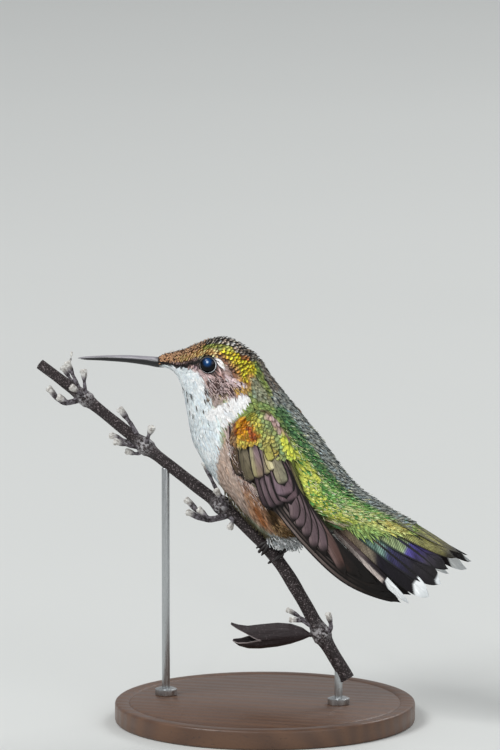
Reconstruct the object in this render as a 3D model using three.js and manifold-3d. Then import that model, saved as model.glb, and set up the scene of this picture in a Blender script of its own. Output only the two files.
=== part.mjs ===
// A ruby-throated hummingbird at life size, perched on a cut length of dried sage stem, which two short rods hold
// above a round display base. Millimetres, +Z up. The bird looks towards -X, and its left side is -Y. The origin is
// the centre of the base's underside.
import * as THREE from "three";
import { mergeVertices } from "three/addons/utils/BufferGeometryUtils.js";
import Module from "manifold-3d";

const wasm = await Module();
wasm.setup();

// ---------------------------------------------------------------- driving dimensions

const PART_GAP = 0.3; // between two pieces of one body
const FINE_GAP = 0.12; // round eyes, bill and feet
const REST_GAP = 0.05; // between the base and what stands on it
const SLAB_SIZE = 60; // larger than the bird is deep or wide
const BODY_SIDES = 20;
const BODY_STEPS = 33;

const BILL_LENGTH = 16.8; // exposed, from the first feathers to the tip
const BILL_ROOT_X = -21.9; // where the feathers begin
const BILL_OVERHANG = 0.6; // how far the upper tip reaches past the lower one
const BILL_STEPS = 9;
const BILL_SIDES = 9;

const EYE_RADIUS = 2.2;
const EYE_CENTRE = [-10.7, 3.4, 72.3];

const TAIL_ROOT = [17.3, 0, 46.6]; // top of the arch of feather roots
const TAIL_PITCH = 24.5; // degrees below the horizontal
const TAIL_SWING = 9; // degrees towards the bird's left
const TAIL_ROLL = 11.5; // its left side hangs lower
const TAIL_FOLD = 20.5; // degrees round the arch from one feather to the next
const TAIL_ARCHES = [4.4, 8.6]; // radius of the arch at the roots and at the tips
const TAIL_LENGTHS = [25.8, 26.2, 26.8, 26.2, 23.2]; // from the middle feather out
const TAIL_WIDTHS = [5.8, 6.2, 6.2, 6.0, 4.8];
const TAIL_THICKNESS = 0.6;
const TAIL_LAYER = 0.3; // each feather lies this much lower than the one before it

const STEM_RADIUS = [1.1, 1.4]; // cut upper end, cut lower end
const STEM_SIDES = 8;

const BASE_RADIUS = 30;
const BASE_HEIGHT = 4;
const ROD_RADIUS = 0.8;
const COLLAR_RADIUS = 2.2;
const COLLAR_HEIGHT = 1.2;
const COLLAR_BORE = 0.1; // wider than the rod, all round
const COLLAR_BEVEL = 0.35;
const ROD_PLACES = { front: -20.7, rear: 15.1 }; // along X

// ---------------------------------------------------------------- shaping helpers

const at = (x, y, z) => new THREE.Vector3(x, y, z);
const mix = THREE.MathUtils.lerp;
const radians = THREE.MathUtils.degToRad;
const smooth = (points) => new THREE.CatmullRomCurve3(points, false, "centripetal");

// A closed solid as a manifold, from any closed geometry.
function solidOf(geometry) {
  const bare = geometry.clone();
  bare.deleteAttribute("normal");
  bare.deleteAttribute("uv");
  const merged = mergeVertices(bare, 1e-4);
  return new wasm.Manifold(
    new wasm.Mesh({
      numProp: 3,
      vertProperties: merged.attributes.position.array,
      triVerts: new Uint32Array(merged.index.array),
    }),
  );
}

function geometryOf(solid) {
  const mesh = solid.getMesh();
  const position = new Float32Array(mesh.numVert * 3);
  for (let i = 0; i < mesh.numVert; i++) {
    position.set(mesh.vertProperties.subarray(i * mesh.numProp, i * mesh.numProp + 3), i * 3);
  }
  return new THREE.BufferGeometry()
    .setAttribute("position", new THREE.BufferAttribute(position, 3))
    .setIndex(new THREE.BufferAttribute(mesh.triVerts, 1));
}

// A skin through rings that all have the same number of points, closed at both ends.
function loft(rings) {
  const sides = rings[0].length;
  const points = rings.flat();
  const index = [];
  for (let i = 0; i + 1 < rings.length; i++) {
    for (let j = 0; j < sides; j++) {
      const a = i * sides + j;
      const b = i * sides + ((j + 1) % sides);
      index.push(a, b, a + sides, b, b + sides, a + sides);
    }
  }
  for (const end of [0, rings.length - 1]) {
    const middle = rings[end].reduce((sum, p) => sum.add(p), at(0, 0, 0)).divideScalar(sides);
    points.push(middle);
    for (let j = 0; j < sides; j++) {
      const a = end * sides + j;
      const b = end * sides + ((j + 1) % sides);
      index.push(...(end ? [a, b, points.length - 1] : [b, a, points.length - 1]));
    }
  }
  let volume = 0;
  for (let i = 0; i < index.length; i += 3) {
    const [a, b, c] = [points[index[i]], points[index[i + 1]], points[index[i + 2]]];
    volume += a.dot(b.clone().cross(c));
  }
  if (volume < 0) index.reverse();
  return new THREE.BufferGeometry().setFromPoints(points).setIndex(index);
}

// A round tube along a path, with its own radius at each of the path's points. Its sections stand upright on Y
// where the path lies in the bird's upright plane. `flatten` squeezes the section along its first direction.
function taperedTube(path, radii, { steps = 10, sides = 8, grow = 0, flatten = 1 } = {}) {
  const line = smooth(path);
  const size = smooth(radii.map((r) => at(r, 0, 0)));
  const rings = [];
  let across = null;
  for (let i = 0; i <= steps; i++) {
    const t = i / steps;
    const ahead = line.getTangent(t);
    if (!across) {
      across = Math.abs(ahead.y) < 0.9 ? at(0, 1, 0) : at(1, 0, 0);
    }
    across.addScaledVector(ahead, -across.dot(ahead)).normalize();
    const up = ahead.clone().cross(across);
    const r = size.getPoint(t).x + grow;
    rings.push(
      Array.from({ length: sides }, (_, j) => {
        const turn = (2 * Math.PI * j) / sides;
        return line
          .getPoint(t)
          .addScaledVector(across, r * Math.cos(turn))
          .addScaledVector(up, r * flatten * Math.sin(turn));
      }),
    );
  }
  return solidOf(loft(rings));
}

const joined = (solids) => solids.reduce((whole, next) => whole.add(next));
const mirrored = (solid) => solid.mirror([0, 1, 0]);

// The largest body of a solid, so that a cut leaves no loose crumbs.
function mainBody(solid) {
  return solid.decompose().sort((a, b) => b.volume() - a.volume())[0];
}

// ---------------------------------------------------------------- head, neck, trunk and rump as one form

// Each station runs from the back or crown to the breast or throat in the bird's upright plane. `half` is half its
// width, `level` the share of its depth, from the breast up, at which it is widest, and `keel` how much it narrows
// towards the belly.
const BODY_STATIONS = [
  { place: "bill root", back: [-21.9, 72.9], front: [-21.7, 70.6], half: 1.35, level: 0.5, keel: 0 },
  { place: "forehead", back: [-19.3, 73.7], front: [-19.7, 70.3], half: 2.2, level: 0.5, keel: 0 },
  { place: "lores", back: [-16.6, 74.5], front: [-18.2, 69.2], half: 3.4, level: 0.5, keel: 0 },
  { place: "brow", back: [-13.9, 75.8], front: [-17.2, 67.4], half: 4.5, level: 0.5, keel: 0 },
  { place: "crown", back: [-10.6, 77.0], front: [-16.5, 64.8], half: 5.3, level: 0.48, keel: 0 },
  { place: "hind crown", back: [-7.0, 77.1], front: [-16.0, 61.7], half: 5.8, level: 0.46, keel: 0 },
  { place: "nape", back: [-1.6, 73.9], front: [-15.0, 56.3], half: 6.6, level: 0.46, keel: 0 },
  { place: "hind neck", back: [1.2, 70.1], front: [-13.6, 53.3], half: 7.7, level: 0.48, keel: 0 },
  { place: "shoulders", back: [4.9, 65.4], front: [-10.7, 49.1], half: 9.2, level: 0.5, keel: 0 },
  { place: "back", back: [10.4, 58.9], front: [-6.4, 44.3], half: 9.9, level: 0.5, keel: 0.05 },
  { place: "lower back", back: [17.2, 50.3], front: [-0.2, 37.8], half: 8.4, level: 0.55, keel: 0.15 },
  { place: "rump", back: [21.2, 46.9], front: [4.3, 35.5], half: 6.9, level: 0.6, keel: 0.35 },
  { place: "tail coverts", back: [26.6, 43.9], front: [12.8, 34.0], half: 4.7, level: 0.66, keel: 0.5 },
  { place: "covert tips", back: [31.1, 41.6], front: [21.6, 34.3], half: 1.9, level: 0.7, keel: 0.45 },
];

// Thin cuts that part the body, each through a point on the back and one on the front.
const BODY_CUTS = [
  { back: [-0.4, 72.6], front: [-16.4, 61.6] },
  { back: [3.1, 67.8], front: [-13.6, 53.6] },
  { back: [19.4, 48.3], front: [1.8, 36.6] },
];

function bodyForm(grow = 0) {
  const curve = (pick) => new THREE.CatmullRomCurve3(BODY_STATIONS.map(pick), false, "catmullrom", 0.5);
  const backs = curve((s) => at(s.back[0], 0, s.back[1]));
  const fronts = curve((s) => at(s.front[0], 0, s.front[1]));
  const shapes = curve((s) => at(s.half, s.level, s.keel));
  const rings = [];
  for (let i = 0; i <= BODY_STEPS; i++) {
    const t = i / BODY_STEPS;
    const [back, front, shape] = [backs.getPoint(t), fronts.getPoint(t), shapes.getPoint(t)];
    const middle = front.clone().lerp(back, shape.y);
    const up = back.clone().sub(middle);
    const down = front.clone().sub(middle);
    up.setLength(up.length() + grow);
    down.setLength(down.length() + grow);
    rings.push(
      Array.from({ length: BODY_SIDES }, (_, j) => {
        const turn = (2 * Math.PI * j) / BODY_SIDES;
        const rise = Math.cos(turn);
        const width = (shape.x + grow) * (1 - shape.z * Math.max(0, -rise));
        return middle
          .clone()
          .addScaledVector(rise > 0 ? up : down, Math.abs(rise))
          .add(at(0, width * Math.sin(turn), 0));
      }),
    );
  }
  return solidOf(loft(rings));
}

function cutSlab({ back, front }) {
  const [a, b] = [at(back[0], 0, back[1]), at(front[0], 0, front[1])];
  const slab = new THREE.BoxGeometry(PART_GAP, SLAB_SIZE, SLAB_SIZE);
  const along = a.clone().sub(b).normalize();
  slab.rotateY(Math.atan2(along.x, along.z));
  const middle = a.add(b).multiplyScalar(0.5);
  return solidOf(slab.translate(middle.x, 0, middle.z));
}

// ---------------------------------------------------------------- bill

// The share of the bill's length, from the root to the tip, with its top, its bottom and half its width there.
const BILL_PROFILE = [
  { share: -0.19, top: 72.2, bottom: 70.9, half: 0.95 },
  { share: 0, top: 72.45, bottom: 70.75, half: 1.0 },
  { share: 0.14, top: 72.55, bottom: 71.05, half: 0.82 },
  { share: 0.4, top: 72.6, bottom: 71.4, half: 0.62 },
  { share: 0.7, top: 72.35, bottom: 71.5, half: 0.48 },
  { share: 0.93, top: 71.95, bottom: 71.45, half: 0.3 },
  { share: 1, top: 71.7, bottom: 71.5, half: 0.12 },
];
const BILL_PARTING = 0.42; // of its depth, from below
const BILL_SPLIT = 0.1;

// Half of the bill: side +1 is the upper mandible, -1 the lower, and 0 the two together, for the seat in the face.
function mandible(side, grow = 0) {
  const length = side < 0 ? BILL_LENGTH - BILL_OVERHANG : BILL_LENGTH;
  const places = new THREE.CatmullRomCurve3(BILL_PROFILE.map((p) => at(BILL_ROOT_X - p.share * length, p.half, 0)));
  const levels = new THREE.CatmullRomCurve3(BILL_PROFILE.map((p) => at(p.top, p.bottom, 0)));
  const rings = [];
  for (let i = 0; i <= BILL_STEPS; i++) {
    const place = places.getPoint(i / BILL_STEPS);
    const level = levels.getPoint(i / BILL_STEPS);
    const middle = (level.x + level.y) / 2;
    const rise = (level.x - level.y) / 2 + grow;
    const cut = mix(level.y, level.x, BILL_PARTING) + (side * BILL_SPLIT) / 2;
    const half = Math.acos(THREE.MathUtils.clamp((cut - middle) / rise, -0.8, 0.8));
    const [first, last] = side > 0 ? [-half, half] : [half, 2 * Math.PI - half];
    const deeper = i === 0 ? grow : 0;
    rings.push(
      Array.from({ length: BILL_SIDES }, (_, j) => {
        const turn = side ? mix(first, last, j / (BILL_SIDES - 1)) : (2 * Math.PI * j) / BILL_SIDES;
        return at(place.x + deeper, (place.y + grow) * Math.sin(turn), middle + rise * Math.cos(turn));
      }),
    );
  }
  return solidOf(loft(rings));
}

// ---------------------------------------------------------------- eyes

function eyeball(grow = 0) {
  const ball = new THREE.SphereGeometry(EYE_RADIUS + grow, 14, 10).rotateX(Math.PI / 2);
  return solidOf(ball.translate(EYE_CENTRE[0], EYE_CENTRE[1], EYE_CENTRE[2]));
}

// ---------------------------------------------------------------- folded wings

// Across the folded wing, from the edge against the flank (low) to the edge against the back (high), each as
// [x, distance from the middle plane, z]. `bulge` is how far the wing bows out between them.
const WING_STATIONS = [
  { place: "wrist", low: [-4.6, 8.3, 60.6], high: [-2.9, 8.3, 62.6], bulge: 0.5, thick: 1.0 },
  { place: "lesser coverts", low: [-4.9, 8.7, 57.0], high: [2.2, 8.3, 63.6], bulge: 1.3, thick: 1.9 },
  { place: "greater coverts", low: [-2.9, 9.2, 52.2], high: [6.6, 9.0, 58.0], bulge: 1.3, thick: 2.0 },
  { place: "secondaries", low: [0.4, 9.2, 48.3], high: [9.0, 9.0, 52.7], bulge: 1.2, thick: 1.8 },
  { place: "inner primaries", low: [3.2, 8.9, 44.0], high: [11.2, 8.4, 46.4], bulge: 1.0, thick: 1.5 },
  { place: "rump side", low: [7.6, 8.2, 39.6], high: [14.6, 7.4, 41.2], bulge: 0.8, thick: 1.2 },
  { place: "primaries", low: [11.9, 7.4, 35.4], high: [18.6, 6.4, 36.0], bulge: 0.7, thick: 1.0 },
  { place: "outer primaries", low: [17.0, 6.3, 30.2], high: [22.6, 5.5, 31.8], bulge: 0.5, thick: 0.8 },
  { place: "blade", low: [22.2, 5.4, 26.9], high: [26.0, 5.0, 28.8], bulge: 0.3, thick: 0.65 },
  { place: "tip", low: [26.6, 4.9, 25.6], high: [28.2, 4.8, 26.8], bulge: 0.1, thick: 0.5 },
];
const WING_STEPS = 16;
const WING_ACROSS = 5; // faces from edge to edge, on each side of the blade
const WING_EDGE = 0.18; // thickness at the blade's edges, as a share of its middle's

// The right wing (+Y). Its two sides run from edge to edge, and the inner one lies `thick` further in.
function wingForm(grow = 0) {
  const curve = (pick) => new THREE.CatmullRomCurve3(WING_STATIONS.map(pick), false, "catmullrom", 0.5);
  const lows = curve((s) => at(...s.low));
  const highs = curve((s) => at(...s.high));
  const shapes = curve((s) => at(s.bulge, s.thick, 0));
  const rings = [];
  for (let i = 0; i <= WING_STEPS; i++) {
    const t = i / WING_STEPS;
    const [low, high, shape] = [lows.getPoint(t), highs.getPoint(t), shapes.getPoint(t)];
    const across = high.clone().sub(low).normalize();
    low.addScaledVector(across, -grow);
    high.addScaledVector(across, grow);
    const side = (j, outwards) => {
      const share = j / WING_ACROSS;
      const arch = Math.sqrt(Math.max(0, 4 * share * (1 - share)));
      const edge = WING_EDGE * shape.y;
      const outer = shape.x * arch + grow;
      const y = outwards ? outer : outer - mix(edge, shape.y, arch) - 2 * grow;
      return low.clone().lerp(high, share).add(at(0, y, 0));
    };
    const ring = [];
    for (let j = 0; j <= WING_ACROSS; j++) ring.push(side(j, true));
    for (let j = WING_ACROSS; j >= 0; j--) ring.push(side(j, false));
    rings.push(ring);
  }
  return solidOf(loft(rings));
}

// ---------------------------------------------------------------- tail

// Half the width of a tail feather, as a share of its full width, from its root to its rounded tip.
const TAIL_OUTLINE = [
  [0, 0.22],
  [0.5, 0.5],
  [0.8, 0.48],
  [0.94, 0.32],
  [1, 0.1],
];

function tailBlade(root, tip, sideways, width) {
  const along = tip.clone().sub(root).normalize();
  const flat = sideways.clone().addScaledVector(along, -sideways.dot(along)).normalize();
  const up = along.clone().cross(flat);
  const rings = TAIL_OUTLINE.map(([share, half]) =>
    Array.from({ length: 4 }, (_, j) => {
      const turn = (Math.PI * j) / 2;
      return root
        .clone()
        .lerp(tip, share)
        .addScaledVector(flat, half * width * Math.cos(turn))
        .addScaledVector(up, (TAIL_THICKNESS / 2) * Math.sin(turn));
    }),
  );
  return solidOf(loft(rings));
}

// The fan: five feathers a side, each a step further round an arch that is wider at the tips than at the roots.
function tailFan() {
  const [pitch, swing, roll, fold] = [TAIL_PITCH, TAIL_SWING, TAIL_ROLL, TAIL_FOLD].map(radians);
  const along = at(Math.cos(pitch) * Math.cos(swing), -Math.cos(pitch) * Math.sin(swing), -Math.sin(pitch));
  const right = at(Math.sin(swing), Math.cos(swing), 0).applyAxisAngle(along, roll);
  const up = along.clone().cross(right);
  const blades = [];
  for (const side of [-1, 1]) {
    TAIL_LENGTHS.forEach((length, i) => {
      const turn = fold * (i + 0.5);
      const arch = right.clone().multiplyScalar(side * Math.sin(turn)).addScaledVector(up, Math.cos(turn) - 1);
      const sideways = right.clone().multiplyScalar(side * Math.cos(turn)).addScaledVector(up, -Math.sin(turn));
      const root = at(...TAIL_ROOT).addScaledVector(arch, TAIL_ARCHES[0]).addScaledVector(up, -TAIL_LAYER * i);
      const spread = TAIL_ARCHES[1] - TAIL_ARCHES[0];
      const forward = Math.sqrt(length ** 2 - (spread * arch.length()) ** 2);
      const tip = root.clone().addScaledVector(arch, spread).addScaledVector(along, forward);
      blades.push(tailBlade(root, tip, sideways, TAIL_WIDTHS[i]));
    });
  }
  return joined(blades);
}

// ---------------------------------------------------------------- perch

// The stem's middle line, from its cut upper end down past the feet to its cut lower end.
const STEM_LINE = [
  [-47.0, 1.2, 70.0],
  [-37.7, 1.0, 63.6],
  [-25.9, 0.7, 55.0],
  [-13.5, 0.3, 46.2],
  [-7.7, 0, 42.3],
  [-0.6, -0.1, 36.1],
  [3.2, -0.1, 31.9],
  [7.9, 0, 24.6],
  [12.1, 0.2, 17.1],
  [17.0, 0.3, 9.2],
].map((p) => at(...p));
// Swollen joints of the stem, as a share of its length, with how much they add to its radius.
const STEM_JOINTS = [
  { share: 0.125, add: 0.5 },
  { share: 0.3, add: 0.55 },
  { share: 0.518, add: 0.75 },
  { share: 0.882, add: 0.6 },
];
const STEM_STEPS = 36;

function stemRadius(share) {
  const swell = STEM_JOINTS.map((j) => j.add * Math.exp(-(((share - j.share) / 0.02) ** 2)));
  return mix(...STEM_RADIUS, share) + swell.reduce((a, b) => a + b);
}

function stemForm(grow = 0) {
  const line = smooth(STEM_LINE);
  const rings = [];
  for (let i = 0; i <= STEM_STEPS; i++) {
    const t = i / STEM_STEPS;
    const ahead = line.getTangentAt(t);
    const across = at(0, 1, 0).addScaledVector(ahead, -ahead.y).normalize();
    const up = ahead.clone().cross(across);
    const r = stemRadius(t) + grow;
    rings.push(
      Array.from({ length: STEM_SIDES }, (_, j) => {
        const turn = (2 * Math.PI * j) / STEM_SIDES;
        return line
          .getPointAt(t)
          .addScaledVector(across, r * Math.cos(turn))
          .addScaledVector(up, r * Math.sin(turn));
      }),
    );
  }
  return solidOf(loft(rings));
}

// Withered flower stalks, each from its joint out to its cupped end.
const STALKS = {
  top: [
    { path: [[-38.2, 1.0, 64.0], [-39.8, 1.2, 67.4], [-41.2, 1.0, 70.4]], ends: [0.5, 0.7] },
    { path: [[-37.2, 0.6, 63.8], [-37.4, 0.2, 66.4], [-37.6, 0.2, 69.0]], ends: [0.45, 0.75] },
    { path: [[-37.6, 0.4, 63.8], [-38.2, -1.2, 65.0], [-39.4, -1.8, 66.0]], ends: [0.5, 0.75] },
    { path: [[-38.0, 1.0, 63.2], [-42.0, 0.4, 62.4], [-44.8, 0.2, 65.2]], ends: [0.5, 0.7] },
    { path: [[-38.4, 0.4, 63.6], [-40.4, -0.8, 63.0], [-42.3, -1.2, 63.8]], ends: [0.45, 0.75] },
    { path: [[-39.0, 1.6, 64.4], [-41.0, 2.8, 66.8], [-42.8, 3.4, 69.0]], ends: [0.45, 0.65] },
  ],
  upper: [
    { path: [[-26.3, 0.6, 55.8], [-27.6, 0.4, 58.4], [-30.0, 0.2, 61.6]], ends: [0.55, 0.75] },
    { path: [[-24.6, 0.2, 54.6], [-24.0, -0.6, 56.4], [-23.2, -0.9, 58.3]], ends: [0.5, 0.8] },
    { path: [[-25.4, 0.4, 54.0], [-28.2, -1.2, 54.7], [-30.4, -1.8, 55.4]], ends: [0.5, 0.75] },
    { path: [[-25.8, 0.6, 54.2], [-29.6, 1.6, 55.2], [-32.4, 2.2, 55.9]], ends: [0.5, 0.7] },
    { path: [[-24.6, 0.8, 53.8], [-26.6, 0.4, 52.8], [-28.6, 0.2, 53.2]], ends: [0.5, 0.65] },
  ],
  middle: [
    { path: [[-7.8, -0.4, 41.6], [-11.6, -0.8, 40.5], [-16.0, -0.6, 44.0]], ends: [0.5, 0.7] },
    { path: [[-7.6, 0.4, 41.0], [-12.4, 0.9, 39.8], [-16.2, 1.2, 41.2]], ends: [0.5, 0.7] },
    { path: [[-7.8, -0.9, 41.4], [-10.8, -2.2, 41.0], [-12.9, -2.6, 42.6]], ends: [0.45, 0.65] },
    { path: [[-8.2, 1.2, 43.0], [-9.8, 2.6, 45.0], [-11.6, 3.4, 48.6]], ends: [0.45, 0.6] },
    { path: [[-8.8, -1.2, 43.2], [-10.0, -2.4, 44.8], [-11.2, -3.0, 46.6]], ends: [0.45, 0.65] },
    { path: [[-7.0, -0.4, 41.4], [-6.4, -1.2, 40.4], [-6.9, -1.2, 39.0]], ends: [0.55, 0.7] },
  ],
  lower: [
    { path: [[11.2, 0.2, 18.4], [8.0, -0.8, 20.6], [5.6, -1.0, 20.9]], ends: [0.5, 0.6] },
    { path: [[11.0, 0.6, 18.8], [7.2, 1.6, 20.8], [4.2, 2.0, 22.2]], ends: [0.45, 0.55] },
    { path: [[12.4, 0.2, 17.6], [13.6, -0.2, 19.6], [13.1, -0.4, 22.2]], ends: [0.6, 0.65] },
  ],
};
function stalk({ path, ends }) {
  const [root, tip] = ends;
  return taperedTube(
    path.map((p) => at(...p)),
    [root, root * 0.8, tip],
    { steps: 3, sides: 5 },
  );
}

// The dry seed cup: a swollen tube from its short stalk, open at the far end between two lips.
function seedCup() {
  const cup = taperedTube(
    [at(10.6, -0.2, 18.2), at(6.0, -0.6, 17.6), at(1.0, -0.8, 17.0), at(-2.0, -0.8, 16.8)],
    [0.45, 1.65, 2.1, 1.5],
    { steps: 7, sides: 8 },
  );
  const upperLip = taperedTube(
    [at(1.0, -0.8, 17.4), at(-3.0, -0.8, 18.2), at(-6.6, -0.8, 19.6)],
    [1.5, 1.0, 0.2],
    { steps: 5, sides: 6, flatten: 0.5 },
  );
  const lowerLip = taperedTube(
    [at(1.0, -0.8, 16.2), at(-3.0, -0.8, 15.0), at(-6.6, -0.8, 15.7)],
    [1.5, 1.3, 0.2],
    { steps: 5, sides: 6, flatten: 0.5 },
  );
  return joined([cup, upperLip, lowerLip]);
}

// ---------------------------------------------------------------- legs and feet

// Each foot grips the stem: three toes round one side and the hind toe round the other. `share` is its place
// along the stem, and `side` is -1 for the left foot and +1 for the right.
const FEET = { left: { share: 0.64, side: -1 }, right: { share: 0.687, side: 1 } };
const TOE_RADIUS = 0.36;
const TOE_CLEARANCE = 0.16;
const TOES = [
  { turn: 190, drift: -1.25, way: 1 },
  { turn: 205, drift: 0, way: 1 },
  { turn: 190, drift: 1.25, way: 1 },
  { turn: 150, drift: 0.3, way: -1 },
];

// The shank rises from the grip into the belly feathers.
function legForm({ share, side }, grow = 0) {
  const line = smooth(STEM_LINE);
  const centre = line.getPointAt(share);
  const ahead = line.getTangentAt(share);
  const across = at(0, 1, 0).addScaledVector(ahead, -ahead.y).normalize();
  const up = across.clone().cross(ahead);
  if (up.z < 0) up.negate();
  const reach = stemRadius(share) + TOE_CLEARANCE + TOE_RADIUS;
  const round = (degrees, far, drift) =>
    centre
      .clone()
      .addScaledVector(up, far * Math.cos(radians(degrees)))
      .addScaledVector(across, side * far * Math.sin(radians(degrees)))
      .addScaledVector(ahead, drift);
  const toes = TOES.map(({ turn, drift, way }) => {
    const path = [];
    for (let i = 0; i <= 6; i++) {
      const done = i / 6;
      const lift = reach + 0.5 * Math.max(0, done - 0.8);
      path.push(round(20 + way * turn * done * 0.85, lift, drift * Math.sin((done * Math.PI) / 2)));
    }
    path.push(round(20 + way * turn * 0.97, reach + 0.75, drift * 1.1));
    const radii = [TOE_RADIUS, TOE_RADIUS, 0.34, 0.32, 0.3, 0.28, 0.22, 0.07];
    return taperedTube(path, radii, { steps: 6, sides: 5, grow });
  });
  const ankle = round(20, reach, 0);
  const shank = taperedTube(
    [
      ankle,
      ankle.clone().addScaledVector(up, 1.6).add(at(0.2, side * 0.5, 0)),
      ankle.clone().addScaledVector(up, 3.2).add(at(0.6, side * 0.9, 0)),
    ],
    [0.42, 0.42, 0.6],
    { steps: 4, sides: 6, grow },
  );
  return joined([...toes, shank]);
}

// ---------------------------------------------------------------- display stand

function baseDisc() {
  const edge = 0.8;
  const profile = [
    new THREE.Vector2(0, 0),
    new THREE.Vector2(BASE_RADIUS - 0.4, 0),
    new THREE.Vector2(BASE_RADIUS, 0.4),
    new THREE.Vector2(BASE_RADIUS, BASE_HEIGHT - edge),
    new THREE.Vector2(BASE_RADIUS - 0.3 * edge, BASE_HEIGHT - 0.3 * edge),
    new THREE.Vector2(BASE_RADIUS - edge, BASE_HEIGHT),
    new THREE.Vector2(0, BASE_HEIGHT),
  ];
  return solidOf(new THREE.LatheGeometry(profile, 36).rotateX(Math.PI / 2));
}

function rodBlank(x, y, top) {
  const bottom = BASE_HEIGHT + REST_GAP;
  const rod = new THREE.CylinderGeometry(ROD_RADIUS, ROD_RADIUS, top - bottom, 12).rotateX(Math.PI / 2);
  return solidOf(rod.translate(x, y, (top + bottom) / 2));
}

function collarRing(x, y) {
  const profile = [
    new THREE.Vector2(ROD_RADIUS + COLLAR_BORE, 0),
    new THREE.Vector2(COLLAR_RADIUS, 0),
    new THREE.Vector2(COLLAR_RADIUS, COLLAR_HEIGHT - COLLAR_BEVEL),
    new THREE.Vector2(COLLAR_RADIUS - COLLAR_BEVEL, COLLAR_HEIGHT),
    new THREE.Vector2(ROD_RADIUS + COLLAR_BORE, COLLAR_HEIGHT),
    new THREE.Vector2(ROD_RADIUS + COLLAR_BORE, 0),
  ];
  const ring = new THREE.LatheGeometry(profile, 14).rotateX(Math.PI / 2);
  return solidOf(ring.translate(x, y, BASE_HEIGHT + REST_GAP));
}

// Where the stem's middle line passes over a place along X.
function stemOver(x) {
  const line = smooth(STEM_LINE);
  let [low, high] = [0, 1];
  for (let i = 0; i < 30; i++) {
    const middle = (low + high) / 2;
    if (line.getPointAt(middle).x < x) low = middle;
    else high = middle;
  }
  return line.getPointAt(low);
}

// ---------------------------------------------------------------- putting it together

const stemBare = stemForm();
const stemRoom = stemForm(FINE_GAP);
const stalks = Object.values(STALKS).flat().map(stalk);
const perch = mainBody(joined([stemBare, ...stalks]));
const perchRoom = joined([stemForm(PART_GAP), ...stalks]);
const cup = mainBody(seedCup().subtract(joined([stemRoom, ...stalks])));

const wingRight = wingForm();
const wingRoom = wingForm(PART_GAP);
const eyeRight = eyeball();
const legs = {};
const legRooms = [];
for (const [name, foot] of Object.entries(FEET)) {
  legs[name] = mainBody(legForm(foot).subtract(joined([stemRoom, ...stalks])));
  legRooms.push(legForm(foot, FINE_GAP));
}

const body = bodyForm()
  .subtract(joined([mandible(0, FINE_GAP), eyeball(FINE_GAP), mirrored(eyeball(FINE_GAP))]))
  .subtract(joined([wingRoom, mirrored(wingRoom)]))
  .subtract(joined([perchRoom, ...legRooms]))
  .subtract(joined(BODY_CUTS.map(cutSlab)));
const bodyPieces = body
  .decompose()
  .sort((a, b) => b.volume() - a.volume())
  .slice(0, BODY_CUTS.length + 1)
  .sort((a, b) => b.boundingBox().max[2] - a.boundingBox().max[2]);
const tail = mainBody(tailFan().subtract(joined([bodyForm(PART_GAP), wingRoom, mirrored(wingRoom)])));

const model = new THREE.Group();
function place(name, solid, colour, roughness = 0.7, metalness = 0) {
  const material = new THREE.MeshStandardMaterial({ color: colour, roughness, metalness });
  const mesh = new THREE.Mesh(geometryOf(solid), material);
  mesh.name = name;
  model.add(mesh);
}

["head", "neck", "trunk", "rump"].forEach((name, i) => {
  place(name, bodyPieces[i], ["#7d6a35", "#d9dedb", "#5f7d33", "#6f8f3c"][i]);
});
place("bill_upper", mandible(1), "#2b292b", 0.4);
place("bill_lower", mandible(-1), "#161516", 0.45);
place("eye_right", eyeRight, "#050508", 0.08);
place("eye_left", mirrored(eyeRight), "#050508", 0.08);
place("wing_right", wingRight, "#5b4a52");
place("wing_left", mirrored(wingRight), "#5b4a52");
place("tail", tail, "#3c4538");
place("leg_left", legs.left, "#1d1a18");
place("leg_right", legs.right, "#1d1a18");
place("perch_stem", perch, "#2a211f", 0.85);
place("perch_seed_cup", cup, "#241b1a", 0.85);
place("stand_base", baseDisc(), "#3a2a20", 0.5);
for (const [name, x] of Object.entries(ROD_PLACES)) {
  const over = stemOver(x);
  place("stand_rod_" + name, mainBody(rodBlank(x, over.y, over.z).subtract(perchRoom)), "#b8b8b8", 0.3, 1);
  place("stand_collar_" + name, collarRing(x, over.y), "#b8b8b8", 0.3, 1);
}

export default model;
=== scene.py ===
import math

import bpy
import numpy as np
from mathutils import Matrix


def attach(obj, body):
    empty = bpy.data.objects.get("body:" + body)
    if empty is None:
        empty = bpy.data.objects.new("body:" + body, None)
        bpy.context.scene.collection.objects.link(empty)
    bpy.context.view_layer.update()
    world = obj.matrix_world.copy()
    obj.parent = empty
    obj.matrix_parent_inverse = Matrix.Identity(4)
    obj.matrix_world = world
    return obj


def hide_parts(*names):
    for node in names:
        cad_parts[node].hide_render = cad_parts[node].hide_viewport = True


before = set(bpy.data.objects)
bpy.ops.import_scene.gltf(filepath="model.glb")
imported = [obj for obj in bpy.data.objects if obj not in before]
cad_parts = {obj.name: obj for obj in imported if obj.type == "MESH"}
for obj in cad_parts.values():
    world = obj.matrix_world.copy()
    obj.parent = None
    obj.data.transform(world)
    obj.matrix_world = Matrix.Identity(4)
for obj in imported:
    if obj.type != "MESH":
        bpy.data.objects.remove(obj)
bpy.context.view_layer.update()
bpy.ops.object.select_all(action="DESELECT")

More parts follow.
